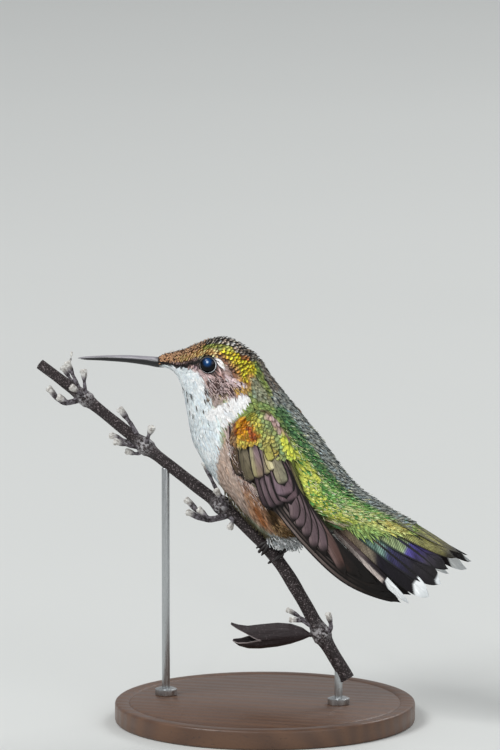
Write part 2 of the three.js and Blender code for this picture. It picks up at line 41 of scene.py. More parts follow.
# ---------------- viewpoint
# A long lens at the bird's own height, a little behind its left shoulder and slightly above it. The upright picture
# takes in 150 mm at the bird, 1.5 m away. Lengths below are millimetres, times MM where they become metres.
MM = 0.001
VIEW_AWAY, VIEW_TALL = 1500.0, 150.0
view_swing, view_climb = math.radians(15), math.radians(9)
view_right = np.array([math.cos(view_swing), math.sin(view_swing), 0.0])
view_up = np.array(
    [-math.sin(view_swing) * math.sin(view_climb), math.cos(view_swing) * math.sin(view_climb), math.cos(view_climb)]
)
view_back = np.cross(view_right, view_up)
view_place = (-3.0 * view_right + 69.0 * view_up + VIEW_AWAY * view_back) * MM
lens = bpy.data.cameras.new("viewpoint")
lens.sensor_fit, lens.sensor_height = "VERTICAL", 24
lens.lens = 24 * VIEW_AWAY / VIEW_TALL
lens.clip_start, lens.clip_end = 0.02, 30
viewpoint = bpy.data.objects.new("viewpoint", lens)
bpy.context.collection.objects.link(viewpoint)
viewpoint.matrix_world = Matrix([[*view_right, 0], [*view_up, 0], [*view_back, 0], [*view_place, 1]]).transposed()
bpy.context.scene.camera = viewpoint
bpy.context.scene.view_settings.view_transform = "Standard"

# ---------------- studio
# A plain pale floor that runs on behind the model, a broad soft lamp high on the left, a weaker one on the right
# and one from behind for the edge of the back. The room itself gives an even pale light.
def colour(code):
    """A written colour such as "#8a6b40" as the linear numbers that a shader takes."""
    shares = [int(code[i : i + 2], 16) / 255 for i in (1, 3, 5)]
    return tuple(s / 12.92 if s < 0.04045 else ((s + 0.055) / 1.055) ** 2.4 for s in shares) + (1.0,)


class Nodes:
    """Shader nodes in one tree. Their inputs take plain values or other nodes' outputs."""

    def __init__(self, tree):
        self.tree = tree

    def wire(self, kind, takes=None, **traits):
        """A new node. `takes` says what its inputs take, by name or number."""
        made = self.tree.nodes.new("ShaderNode" + kind)
        for trait, value in traits.items():
            setattr(made, trait, value)
        for socket, value in (takes or {}).items():
            if isinstance(value, bpy.types.NodeSocket):
                self.tree.links.new(value, made.inputs[socket])
            else:
                made.inputs[socket].default_value = value
        return made

    def mixed(self, share, first, second):
        """A colour, written or from a node: `first` at share 0, `second` at share 1."""
        first, second = (colour(tone) if isinstance(tone, str) else tone for tone in (first, second))
        return self.wire("Mix", {0: share, 6: first, 7: second}, data_type="RGBA").outputs[2]

    def sums(self, how, first, second=0.0, third=0.0):
        return self.wire("Math", {0: first, 1: second, 2: third}, operation=how).outputs[0]

    def times(self, first, second):
        return self.sums("MULTIPLY", first, second)

    def minus(self, first, second):
        return self.sums("SUBTRACT", first, second)

    def scaled(self, vector, size):
        return self.wire("VectorMath", {0: vector, "Scale": size}, operation="SCALE").outputs[0]

    def ramp(self, value, low, high, to_low=0.0, to_high=1.0):
        """A smooth step from `to_low` at `low` to `to_high` at `high`."""
        takes = {"Value": value, "From Min": low, "From Max": high, "To Min": to_low, "To Max": to_high}
        return self.wire("MapRange", takes, interpolation_type="SMOOTHSTEP").outputs[0]

    def bumped(self, height, depth_mm, strength=1.0):
        """A normal from a height that runs from 0 to 1."""
        return self.wire("Bump", {"Strength": strength, "Distance": depth_mm * MM, "Height": height}).outputs[0]

    def place(self, stretch=(1, 1, 1)):
        """Object coordinates in millimetres, stretched along the axes."""
        where = self.wire("TexCoord").outputs["Object"]
        return self.wire("Mapping", {"Vector": where, "Scale": tuple(1000.0 * s for s in stretch)}).outputs[0]

    def noise(self, where, scale, detail=3.0, rough=0.5):
        takes = {"Vector": where, "Scale": scale, "Detail": detail, "Roughness": rough}
        return self.wire("TexNoise", takes).outputs["Fac"]

    def attribute(self, name):
        """What the piece's own mesh says at each point."""
        return self.wire("Attribute", attribute_name=name).outputs


class Finish(Nodes):
    """A material with one Principled shader, whose plain sockets are set by name."""

    def __init__(self, name, **plain):
        self.material = bpy.data.materials.new(name)
        self.material.use_nodes = True
        super().__init__(self.material.node_tree)
        self.inputs = self.tree.nodes["Principled BSDF"].inputs
        for socket, value in plain.items():
            self.inputs[socket.replace("_", " ")].default_value = value

    def feed(self, **sources):
        """Links nodes to the shader's inputs, by name."""
        for socket, source in sources.items():
            self.tree.links.new(source, self.inputs[socket.replace("_", " ")])


bpy.ops.mesh.primitive_plane_add(size=8)
floor = bpy.context.object
floor.name = "studio_floor"
floor_finish = Finish("floor_paper", Roughness=0.95, Specular_IOR_Level=0.1)
floor_patch = floor_finish.noise(floor_finish.place(), 0.002)
floor_finish.feed(Base_Color=floor_finish.mixed(floor_patch, "#d2d4d2", "#dadcda"))
floor.data.materials.append(floor_finish.material)

room = bpy.data.worlds.new("room")
room.use_nodes = True
room.node_tree.nodes["Background"].inputs["Color"].default_value = colour("#f2f4f6")
room.node_tree.nodes["Background"].inputs["Strength"].default_value = 0.45
bpy.context.scene.world = room

for lamp_name, lamp_at, lamp_side, lamp_power in [
    ("lamp_catch", (0.1, -1.1, 0.54), 0.06, 0.8),
    ("lamp_main", (-0.75, -1.0, 1.35), 0.7, 18.0),
    ("lamp_fill", (1.25, -0.9, 0.7), 0.9, 5.0),
    ("lamp_back", (0.5, 1.1, 1.2), 0.7, 8.0),
]:
    glow = bpy.data.lights.new(lamp_name, "AREA")
    glow.size, glow.energy = lamp_side, lamp_power
    lamp = bpy.data.objects.new(lamp_name, glow)
    bpy.context.collection.objects.link(lamp)
    away = np.array(lamp_at) - np.array([0, 0, 0.06])
    away /= np.linalg.norm(away)
    beside = np.cross([0, 0, 1.0], away)
    beside /= np.linalg.norm(beside)
    lamp.matrix_world = Matrix([[*beside, 0], [*np.cross(away, beside), 0], [*away, 0], [*lamp_at, 1]]).transposed()


# ---------------- stem
# A dry, near-black sage stem, squarish and ridged, with four swollen joints. It was cut at both ends, and the two
# rods hold it from below.
STEM_LINE = [
    (-47.0, 1.2, 70.0),
    (-37.7, 1.0, 63.6),
    (-25.9, 0.7, 55.0),
    (-13.5, 0.3, 46.2),
    (-7.7, 0, 42.3),
    (-0.6, -0.1, 36.1),
    (3.2, -0.1, 31.9),
    (7.9, 0, 24.6),
    (12.1, 0.2, 17.1),
    (17.0, 0.3, 9.2),
]
STEM_RADII = (1.1, 1.4)
STEM_JOINTS = [(0.125, 0.5), (0.3, 0.55), (0.518, 0.75), (0.882, 0.6)]  # share of the length, added radius


def flowing(points, shares):
    """Points at shares of the way along a smooth line through `points`, spaced by its own length."""
    knots = np.array(points, float)
    gaps = np.linalg.norm(np.diff(knots, axis=0), axis=1) ** 0.5
    ends = np.vstack([2 * knots[0] - knots[1], knots, 2 * knots[-1] - knots[-2]])
    gaps = np.concatenate([gaps[:1], gaps, gaps[-1:]])
    fine = []
    for i in range(len(knots) - 1):
        p0, p1, p2, p3 = ends[i : i + 4]
        d0, d1, d2 = gaps[i : i + 3]
        m1 = ((p1 - p0) / d0 - (p2 - p0) / (d0 + d1) + (p2 - p1) / d1) * d1
        m2 = ((p2 - p1) / d1 - (p3 - p1) / (d1 + d2) + (p3 - p2) / d2) * d1
        f = np.linspace(0, 1, 40, endpoint=i == len(knots) - 2)[:, None]
        from_first = (2 * f**3 - 3 * f**2 + 1) * p1 + (f**3 - 2 * f**2 + f) * m1
        fine.append(from_first + (3 * f**2 - 2 * f**3) * p2 + (f**3 - f**2) * m2)
    fine = np.vstack(fine)
    run = np.concatenate([[0], np.cumsum(np.linalg.norm(np.diff(fine, axis=0), axis=1))])
    return np.stack([np.interp(np.asarray(shares) * run[-1], run, fine[:, k]) for k in range(3)], -1)


def closed_loft(rings):
    """Points and faces of a skin through rings of equal size, its two ends closed by fans."""
    rings = np.asarray(rings, float)
    count, sides = rings.shape[:2]
    points = np.vstack([rings.reshape(-1, 3), rings[0].mean(0), rings[-1].mean(0)])
    i, j = np.meshgrid(np.arange(count - 1), np.arange(sides), indexing="ij")
    k, here, after = (j + 1) % sides, i * sides, (i + 1) * sides
    faces = np.stack([here + j, here + k, after + k, after + j], -1).reshape(-1, 4).tolist()
    first, last = count * sides, (count - 1) * sides
    faces += [[(a + 1) % sides, a, first] for a in range(sides)]
    faces += [[last + a, last + (a + 1) % sides, first + 1] for a in range(sides)]
    return points, faces


def tube(path, radii, steps, sides, flat=1.0, shape=None):
    """Points and faces of a round tube along a smooth path, with its own radius at each point of the path.
    `shape(share, turn)` gives what is added to the radius."""
    shares = np.linspace(0, 1, steps + 1)
    middle = flowing(path, shares)
    knots = np.concatenate([[0], np.cumsum(np.linalg.norm(np.diff(np.array(path, float), axis=0), axis=1))])
    reach = np.interp(shares, knots / knots[-1], radii)
    ahead = np.gradient(middle, axis=0)
    ahead /= np.linalg.norm(ahead, axis=1)[:, None]
    across = np.array([0.0, 1.0, 0.0]) if abs(ahead[0, 1]) < 0.9 else np.array([1.0, 0.0, 0.0])
    turns = np.linspace(0, 2 * np.pi, sides, endpoint=False)
    rings = []
    for share, centre, forth, r in zip(shares, middle, ahead, reach):
        across = across - across.dot(forth) * forth
        across /= np.linalg.norm(across)
        over = np.cross(forth, across)
        size = (r + (shape(share, turns) if shape else 0 * turns))[:, None]
        rings.append(centre + size * np.cos(turns)[:, None] * across + size * flat * np.sin(turns)[:, None] * over)
    return closed_loft(rings)


def gathered(parts):
    """Many sets of points and faces as one."""
    points, faces, base = [], [], 0
    for part_points, part_faces in parts:
        points.append(part_points)
        faces += [[v + base for v in face] for face in part_faces]
        base += len(part_points)
    return np.vstack(points), faces


def hold(made):
    """Selects one object alone, for the tools to work on."""
    bpy.ops.object.select_all(action="DESELECT")
    bpy.context.view_layer.objects.active = made
    made.select_set(True)


def face_out(made):
    """Turns all the faces of a closed object outwards."""
    hold(made)
    bpy.ops.object.mode_set(mode="EDIT")
    bpy.ops.mesh.select_all(action="SELECT")
    bpy.ops.mesh.normals_make_consistent(inside=False)
    bpy.ops.object.mode_set(mode="OBJECT")


def piece(name, points, faces, finish, angle=35):
    """A finished object, from points in millimetres, with smooth shading up to an angle and its faces outwards."""
    mesh = bpy.data.meshes.new(name)
    mesh.from_pydata((np.asarray(points) * MM).tolist(), [], faces)
    made = bpy.data.objects.new(name, mesh)
    bpy.context.collection.objects.link(made)
    mesh.materials.append(finish.material)
    face_out(made)
    bpy.ops.object.shade_smooth_by_angle(angle=math.radians(angle))
    made.select_set(False)
    return made


def mark(made, name, values):
    """Gives a piece one number for each of its points, which its finish reads by name."""
    made.data.attributes.new(name, "FLOAT", "POINT").data.foreach_set("value", values.astype(np.float32))


def stem_reach(share):
    """The stem's radius at a share of its length."""
    swell = sum(add * np.exp(-(((share - at) / 0.02) ** 2)) for at, add in STEM_JOINTS)
    return STEM_RADII[0] + (STEM_RADII[1] - STEM_RADII[0]) * share + swell


def stem_ridges(share, turns):
    """Four blunt corners, fine furrows between them, and a worn waver."""
    square = 0.07 * np.cos(4 * turns + 1.2 * share)
    furrows = 0.03 * np.cos(17 * turns + 9 * np.sin(5 * share)) + 0.02 * np.cos(29 * turns - 30 * share)
    waver = 0.04 * np.sin(61 * share + 2 * turns) * np.sin(23 * share)
    collar = sum(0.16 * np.exp(-(((share - at - 0.012) / 0.004) ** 2)) for at, _ in STEM_JOINTS)
    return square + furrows + waver + collar - 0.1


STEM_STEPS, STEM_SIDES = 320, 40
stem_steps = np.linspace(0, 1, STEM_STEPS + 1)
stem_points, stem_faces = tube(
    flowing(STEM_LINE, stem_steps), stem_reach(stem_steps), steps=STEM_STEPS, sides=STEM_SIDES, shape=stem_ridges
)

bark = Finish("dry_bark", Specular_IOR_Level=0.35)
bark_place = bark.place()
bark_grain = bark.noise(bark.place((1.6, 2.2, 1.2)), 1.9, 6, 0.65)
bark_flecks = bark.ramp(bark.noise(bark_place, 3.4, 2, 0.6), 0.56, 0.66)
bark_dust = bark.ramp(bark.noise(bark_place, 0.9, 4, 0.6), 0.5, 0.72)
bark_joint = bark.attribute("joint")["Fac"]
bark_crust = bark.times(bark_joint, bark.ramp(bark.noise(bark_place, 1.5, 4, 0.6), 0.42, 0.6))
bark_base = bark.mixed(bark_grain, "#0e0b0b", "#322829")
bark_worn = bark.mixed(bark.times(bark_flecks, 0.75), bark_base, "#94898a")
bark_done = bark.mixed(bark.times(bark_dust, 0.25), bark_worn, "#6a5f62")
bark.feed(
    Base_Color=bark.mixed(bark_crust, bark_done, "#b3b0b2"),
    Roughness=bark.ramp(bark_grain, 0.2, 0.8, 0.5, 0.85),
    Normal=bark.bumped(bark.sums("ADD", bark_grain, bark.times(bark_flecks, 0.4)), 0.12),
)
stem = piece("perch_stem_bark", stem_points, stem_faces, bark, angle=50)
stem_shares = np.minimum(np.arange(len(stem_points)) // STEM_SIDES / STEM_STEPS, 1.0)
stem_joint = sum(np.exp(-(((stem_shares - at) / 0.016) ** 2)) for at, _ in STEM_JOINTS)
mark(stem, "joint", stem_joint)
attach(stem, "root")
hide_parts("perch_stem")

# ---------------- withered flower stalks
# Short stiff stalks in whorls at the stem's joints. Each grows out of the stem and ends in a dry pale bud with a
# small ragged mouth. Each row is the stalk's path and its radius at the root and at the tip.
STALKS = [
    [(-38.2, 1.0, 64.0), (-39.8, 1.2, 67.4), (-41.2, 1.0, 70.4), 0.5, 0.7],
    [(-37.2, 0.6, 63.8), (-37.4, 0.2, 66.4), (-37.6, 0.2, 69.0), 0.45, 0.75],
    [(-37.6, 0.4, 63.8), (-38.2, -1.2, 65.0), (-39.4, -1.8, 66.0), 0.5, 0.75],
    [(-38.0, 1.0, 63.2), (-42.0, 0.4, 62.4), (-44.8, 0.2, 65.2), 0.5, 0.7],
    [(-38.4, 0.4, 63.6), (-40.4, -0.8, 63.0), (-42.3, -1.2, 63.8), 0.45, 0.75],
    [(-39.0, 1.6, 64.4), (-41.0, 2.8, 66.8), (-42.8, 3.4, 69.0), 0.45, 0.65],
    [(-26.3, 0.6, 55.8), (-27.6, 0.4, 58.4), (-30.0, 0.2, 61.6), 0.55, 0.75],
    [(-24.6, 0.2, 54.6), (-24.0, -0.6, 56.4), (-23.2, -0.9, 58.3), 0.5, 0.8],
    [(-25.4, 0.4, 54.0), (-28.2, -1.2, 54.7), (-30.4, -1.8, 55.4), 0.5, 0.75],
    [(-25.8, 0.6, 54.2), (-29.6, 1.6, 55.2), (-32.4, 2.2, 55.9), 0.5, 0.7],
    [(-24.6, 0.8, 53.8), (-26.6, 0.4, 52.8), (-28.6, 0.2, 53.2), 0.5, 0.65],
    [(-7.8, -0.4, 41.6), (-11.6, -0.8, 40.5), (-16.0, -0.6, 44.0), 0.5, 0.7],
    [(-7.6, 0.4, 41.0), (-12.4, 0.9, 39.8), (-16.2, 1.2, 41.2), 0.5, 0.7],
    [(-7.8, -0.9, 41.4), (-10.8, -2.2, 41.0), (-12.9, -2.6, 42.6), 0.45, 0.65],
    [(-8.2, 1.0, 43.0), (-10.6, 1.8, 46.2), (-13.0, 1.6, 51.2), 0.5, 0.6],
    [(-7.6, -1.2, 43.2), (-8.4, -2.4, 44.8), (-9.3, -2.8, 46.6), 0.45, 0.7],
    [(-40.9, 0.9, 70.0), (-40.4, 0.8, 71.4), (-40.2, 0.6, 72.7), 0.22, 0.2],
    [(-7.0, -0.4, 41.4), (-6.4, -1.2, 40.4), (-6.9, -1.2, 39.0), 0.55, 0.7],
    [(11.2, 0.2, 18.4), (8.0, -0.8, 20.6), (5.6, -1.0, 20.9), 0.5, 0.6],
    [(11.0, 0.6, 18.8), (7.2, 1.6, 20.8), (4.2, 2.0, 22.2), 0.45, 0.55],
    [(12.4, 0.2, 17.6), (13.6, -0.2, 19.6), (13.1, -0.4, 22.2), 0.6, 0.65],
]
# Along a cup's wall, outside and then in: how far out and how wide, in cup radii, and whether the ring is ragged.
CUP_RINGS = [(-0.8, 0.8, 0), (-0.3, 1.15, 0), (0.2, 1.2, 0), (0.6, 0.9, 1), (0.6, 0.6, 1), (0.3, 0.45, 0),
             (0.1, 0.2, 0)]


def unit(values):
    """Values held between 0 and 1."""
    return np.clip(values, 0, 1)


def cup_rim(share, turns):
    """The stalk's cup: a waist, then a swollen ribbed cup with five ragged points."""
    cup = unit((share - 0.62) / 0.3)
    ribs = 0.09 * cup * np.cos(5 * turns)
    return ribs - 0.12 * np.exp(-(((share - 0.6) / 0.1) ** 2)) + 0.03 * np.cos(13 * turns + 20 * share)


def stalk_cup(path, tip):
    """A hollow end: from the cup's rim the wall turns in and down to its dark floor, with five small points."""
    end, before = np.array(path[-1], float), np.array(path[-2], float)
    forth = (end - before) / np.linalg.norm(end - before)
    beside = np.cross(forth, [0.3, 1, 0.2])
    beside /= np.linalg.norm(beside)
    over = np.cross(forth, beside)
    turns = np.linspace(0, 2 * np.pi, 20, endpoint=False)
    points_out = 1 + 0.45 * np.maximum(0, np.cos(5 * turns)) ** 2
    rings = []
    for far, size, ragged in CUP_RINGS:
        lift = (far + ragged * 0.35 * (points_out - 1)) * tip
        ring = np.cos(turns)[:, None] * beside + np.sin(turns)[:, None] * over
        rings.append(end + lift[:, None] * forth + size * tip * ring)
    return closed_loft(rings)


stalk_parts = []
for *stalk_path, stalk_root, stalk_tip in STALKS:
    stalk_parts.append(
        tube(stalk_path, [stalk_root, stalk_root * 0.8, stalk_tip * 0.9], steps=14, sides=15, shape=cup_rim)
    )
    stalk_parts.append(stalk_cup(stalk_path, stalk_tip * 0.85))
stalk_points, stalk_faces = gathered(stalk_parts)
stalk_tips = np.array([row[2] for row in STALKS], float)
tip_gap = np.linalg.norm(stalk_points[:, None] - stalk_tips[None], axis=2).min(1)

stalk_finish = Finish("dry_stalk", Roughness=0.8, Specular_IOR_Level=0.3)
stalk_place = stalk_finish.place()
stalk_patch = stalk_finish.noise(stalk_place, 1.6, 4, 0.6)
stalk_pale = stalk_finish.attribute("pale")["Fac"]
stalk_body = stalk_finish.mixed(stalk_finish.ramp(stalk_patch, 0.35, 0.65), "#2a2325", "#7c777d")
stalk_bud = stalk_finish.mixed(stalk_finish.ramp(stalk_patch, 0.4, 0.6), "#bdb8b2", "#efeee8")
stalk_finish.feed(
    Base_Color=stalk_finish.mixed(stalk_pale, stalk_body, stalk_bud),
    Normal=stalk_finish.bumped(stalk_finish.noise(stalk_place, 5.0, 3), 0.08),
)
stalks = piece("perch_stalks", stalk_points, stalk_faces, stalk_finish, angle=50)
mark(stalks, "pale", unit(1.6 - tip_gap / 0.9))
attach(stalks, "root")

# ---------------- seed cup
# The one dry seed cup left on the lowest joint: two thin brittle valves, joined for most of their length and split
# at the mouth, where their pale rims part into an upper and a lower lip.
HUSK_ENDS = np.array([(9.45, -0.5, 17.9), (-6.6, -0.8, 17.7)])
HUSK_ROLL = math.radians(19)
HUSK_RINGS, HUSK_WIDE, HUSK_SPLIT = 45, 23, 27  # rings, points across a wall, and the ring where the valves part
# Along the cup: its top, its bottom and its half width, and the free edges of the upper and the lower valve.
HUSK_PROFILE = [
    (0.0, 0.35, -0.35, 0.35, 0.0, 0.0),
    (0.1, 1.5, -1.1, 1.1, 0.1, 0.1),
    (0.25, 2.2, -1.95, 1.75, 0.0, 0.0),
    (0.42, 2.3, -2.65, 2.0, -0.2, -0.2),
    (0.64, 1.85, -3.25, 1.95, -0.55, -0.6),
    (0.8, 1.5, -3.4, 1.6, 0.5, -1.45),
    (0.92, 1.75, -3.0, 1.25, 1.25, -1.9),
    (1.0, 2.2, -1.95, 0.9, 2.0, -1.8),
]


def husk_valve(side):
    """The upper (+1) or the lower (-1) valve, with an outer and an inner wall, and which points are on its rims."""
    along, rings = HUSK_ENDS[1] - HUSK_ENDS[0], []
    stops, *columns = zip(*HUSK_PROFILE)
    for share in np.linspace(0, 1, HUSK_RINGS):
        top, low, half, over, under = [np.interp(share, stops, column) for column in columns]
        middle, rise = (top + low) / 2, (top - low) / 2
        reach = math.acos(np.clip(((over if side > 0 else under) - middle) / rise, -0.95, 0.95))
        turns = np.linspace(*((-reach, reach) if side > 0 else (reach, 2 * math.pi - reach)), HUSK_WIDE)
        ribs = 1 + 0.04 * np.cos(9 * turns) * math.sin(math.pi * share)
        wall = 0.22 * (1 - 0.5 * share)
        outer = np.stack([half * ribs * np.sin(turns), middle + rise * ribs * np.cos(turns)], -1)
        inner = np.stack([(half - wall) * np.sin(turns), middle + (rise - wall) * np.cos(turns)], -1)[::-1]
        y, z = np.vstack([outer, inner]).T
        roll_cos, roll_sin = math.cos(HUSK_ROLL), math.sin(HUSK_ROLL)
        turned = np.stack([0 * y, y * roll_cos - z * roll_sin, y * roll_sin + z * roll_cos], -1)
        rings.append(HUSK_ENDS[0] + along * share + turned)
    return closed_loft(rings)


husk_parts = [
    husk_valve(1),
    husk_valve(-1),
    tube([(11.8, 0.1, 18.6), (10.6, -0.2, 18.2), (9.3, -0.5, 17.9)], [0.6, 0.45, 0.5], steps=10, sides=16),
]
husk = Finish("seed_husk", Specular_IOR_Level=0.4)
husk_place = husk.place((0.5, 2.0, 2.0))
husk_veins = husk.noise(husk_place, 1.6, 5, 0.6)
husk_spots = husk.ramp(husk.noise(husk.place(), 3.4, 3, 0.55), 0.58, 0.72)
husk_lip = husk.attribute("lip")["Fac"]
husk.feed(
    Base_Color=husk.mixed(
        husk.sums("MAXIMUM", husk.times(husk_spots, 0.4), husk_lip),
        husk.mixed(husk_veins, "#120e10", "#3a2f31"),
        husk.mixed(husk_lip, "#7b6f72", "#a79d9c"),
    ),
    Roughness=husk.ramp(husk_veins, 0.3, 0.7, 0.45, 0.75),
    Normal=husk.bumped(husk_veins, 0.15),
)
husk_points, husk_faces = gathered(husk_parts)
seed_cup = piece("seed_cup_husk", husk_points, husk_faces, husk, angle=50)
lips = np.zeros(len(husk_points))
for start in (0, len(husk_parts[0][0])):
    for ring in range(HUSK_SPLIT, HUSK_RINGS):
        for edge_point in (0, HUSK_WIDE - 1, HUSK_WIDE, 2 * HUSK_WIDE - 1):
            lips[start + ring * 2 * HUSK_WIDE + edge_point] = 1.0
mark(seed_cup, "lip", lips)
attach(seed_cup, "root")
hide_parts("perch_seed_cup")

# ---------------- display stand
# A turned walnut disc with a shallow groove inside its rounded edge. Two thin steel rods are set into it, each in a
# small collar, and reach up to the underside of the stem.
BASE_RADIUS, BASE_HEIGHT, BASE_BEVEL = 30.0, 4.0, 0.55
GROOVE_STEPS = [(2.4, 0), (0.5, -0.35), (0.5, 0.35)]  # widths and rises, from the edge inwards
ROD_RADIUS, ROD_SUNK, ROD_BEVEL = 0.8, 0.4, 0.2
COLLAR_RADIUS, COLLAR_HEIGHT, COLLAR_STEPS, COLLAR_BEVEL = 2.2, 1.2, [(0.75, 0.3)], 0.18
ROD_PLACES = {"front": -20.7, "rear": 15.1}


def shape_top(made, steps):
    """Insets an object's flat top by each step's width and then moves it up by the step's rise."""
    hold(made)
    bpy.ops.object.mode_set(mode="EDIT")
    bpy.ops.mesh.select_mode(type="FACE")
    bpy.ops.mesh.select_all(action="DESELECT")
    bpy.ops.object.mode_set(mode="OBJECT")
    for face in made.data.polygons:
        face.select = face.normal.z > 0.9
    bpy.ops.object.mode_set(mode="EDIT")
    for width, rise in steps:
        bpy.ops.mesh.inset(thickness=width * MM)
        bpy.ops.transform.translate(value=(0, 0, rise * MM))
    bpy.ops.object.mode_set(mode="OBJECT")


def settle(made, finish, angle=35, bevel=None):
    """Rounds sharp corners if asked, shades, gives the finish and puts the object's origin at the frame's."""
    hold(made)
    if bevel:
        cut = made.modifiers.new("edge", "BEVEL")
        cut.width, cut.segments, cut.limit_method, cut.angle_limit = bevel * MM, 3, "ANGLE", math.radians(80)
        bpy.ops.object.modifier_apply(modifier=cut.name)
    bpy.ops.object.transform_apply(location=True, rotation=True, scale=True)
    bpy.ops.object.shade_smooth_by_angle(angle=math.radians(angle))
    made.data.materials.clear()
    made.data.materials.append(finish.material)
    made.select_set(False)


bpy.ops.mesh.primitive_cylinder_add(
    vertices=144, radius=BASE_RADIUS * MM, depth=BASE_HEIGHT * MM, location=(0, 0, BASE_HEIGHT / 2 * MM)
)
base = bpy.context.object
base.name = "stand_base_walnut"
bpy.ops.object.transform_apply(location=True, rotation=True, scale=True)
shape_top(base, GROOVE_STEPS)
walnut = Finish("walnut", Coat_Weight=0.25, Coat_Roughness=0.25)
walnut_place = walnut.place((0.12, 1.0, 1.0))
walnut_drift = walnut.noise(walnut.place((0.02, 0.06, 0.06)), 1.0, 2)
walnut_rings = walnut.wire(
    "TexWave",
    {"Vector": walnut_place, "Scale": 0.1, "Distortion": 9.0, "Detail": 3.0, "Detail Scale": 0.6},
    bands_direction="Y",
).outputs["Fac"]
walnut_pores = walnut.ramp(walnut.noise(walnut.place((0.25, 3.0, 3.0)), 1.6, 2), 0.62, 0.7)
walnut_tone = walnut.mixed(walnut_rings, "#533828", "#664732")
walnut_tone = walnut.mixed(walnut.times(walnut_drift, 0.5), walnut_tone, "#59402e")
walnut_tone = walnut.mixed(walnut.times(walnut_pores, 0.5), walnut_tone, "#24160f")
walnut.feed(
    Base_Color=walnut_tone,
    Roughness=walnut.ramp(walnut_rings, 0.0, 1.0, 0.42, 0.55),
    Normal=walnut.bumped(walnut.minus(walnut_rings, walnut_pores), 0.03),
)
settle(base, walnut, bevel=BASE_BEVEL)
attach(base, "root")
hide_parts("stand_base")


def two_tone(name, dark, pale, grain, rough, relief=None, stretch=(1, 1, 1), **plain):
    """A finish of two tones mixed by one noise, `grain` (its scale and detail), which sets its roughness too."""
    made = Finish(name, **plain)
    marks = made.noise(made.place(stretch), *grain)
    made.feed(Base_Color=made.mixed(marks, dark, pale), Roughness=made.ramp(marks, 0.2, 0.8, *rough))
    if relief:
        made.feed(Normal=made.bumped(marks, relief))
    return made


steel = two_tone("brushed_steel", "#a8abad", "#c6c9ca", (1.2, 3), (0.22, 0.4), 0.01, (6.0, 6.0, 0.35), Metallic=1.0)
STEM_FINE = 2000
stem_fine = flowing(STEM_LINE, np.linspace(0, 1, STEM_FINE + 1))
for rod_name, rod_x in ROD_PLACES.items():
    over = int(np.argmin(abs(stem_fine[:, 0] - rod_x)))
    rod_y, stem_z = stem_fine[over, 1:]
    rod_top = stem_z - stem_reach(over / STEM_FINE) * 0.9
    bottom = BASE_HEIGHT - ROD_SUNK
    bpy.ops.mesh.primitive_cylinder_add(
        vertices=40,
        radius=ROD_RADIUS * MM,
        depth=(rod_top - bottom) * MM,
        location=(rod_x * MM, rod_y * MM, (rod_top + bottom) / 2 * MM),
    )
    rod = bpy.context.object
    rod.name = "stand_rod_%s_steel" % rod_name
    settle(rod, steel, bevel=ROD_BEVEL)
    bpy.ops.mesh.primitive_cylinder_add(
        vertices=56,
        radius=COLLAR_RADIUS * MM,
        depth=COLLAR_HEIGHT * MM,
        location=(rod_x * MM, rod_y * MM, (BASE_HEIGHT + COLLAR_HEIGHT / 2) * MM),
    )
    collar = bpy.context.object
    collar.name = "stand_collar_%s_steel" % rod_name
    bpy.ops.object.transform_apply(location=True, rotation=True, scale=True)
    shape_top(collar, COLLAR_STEPS)
    settle(collar, steel, bevel=COLLAR_BEVEL)
    for part, kind in ((rod, "rod"), (collar, "collar")):
        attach(part, "root")
        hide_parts("stand_%s_%s" % (kind, rod_name))

# ---------------- skin
# One thin grey skin over head, neck, trunk and rump, a coat's depth inside the bird's outline. It shows only round
# the eyes and between loose feathers, and is tucked in where the eyeballs sit and where the folded wings lie.
# Each station runs from the back or crown to the breast or throat; then half its width, the share of its depth at
# which it is widest, and how much it narrows towards the belly.
BODY_STATIONS = [
    ("bill root", (-21.9, 72.9), (-21.7, 70.6), 1.35, 0.5, 0),
    ("forehead", (-19.3, 73.7), (-19.7, 70.3), 2.2, 0.5, 0),
    ("lores", (-16.6, 74.5), (-18.2, 69.2), 3.4, 0.5, 0),
    ("brow", (-13.9, 75.8), (-17.2, 67.4), 4.5, 0.5, 0),
    ("crown", (-10.6, 77.0), (-16.5, 64.8), 5.3, 0.48, 0),
    ("hind crown", (-7.0, 77.1), (-16.0, 61.7), 5.8, 0.46, 0),
    ("nape", (-1.6, 73.9), (-15.0, 56.3), 6.6, 0.46, 0),
    ("hind neck", (1.2, 70.1), (-13.6, 53.3), 7.7, 0.48, 0),
    ("shoulders", (4.9, 65.4), (-10.7, 49.1), 9.2, 0.5, 0),
    ("back", (10.4, 58.9), (-6.4, 44.3), 9.9, 0.5, 0.05),
    ("lower back", (17.2, 50.3), (-0.2, 37.8), 8.4, 0.55, 0.15),
    ("rump", (21.2, 46.9), (4.9, 36.8), 6.9, 0.6, 0.35),
    ("tail coverts", (26.6, 43.9), (12.6, 36.0), 4.7, 0.66, 0.5),
    ("covert tips", (31.1, 41.6), (21.6, 34.3), 1.9, 0.7, 0.45),
]
BODY_END = len(BODY_STATIONS) - 1
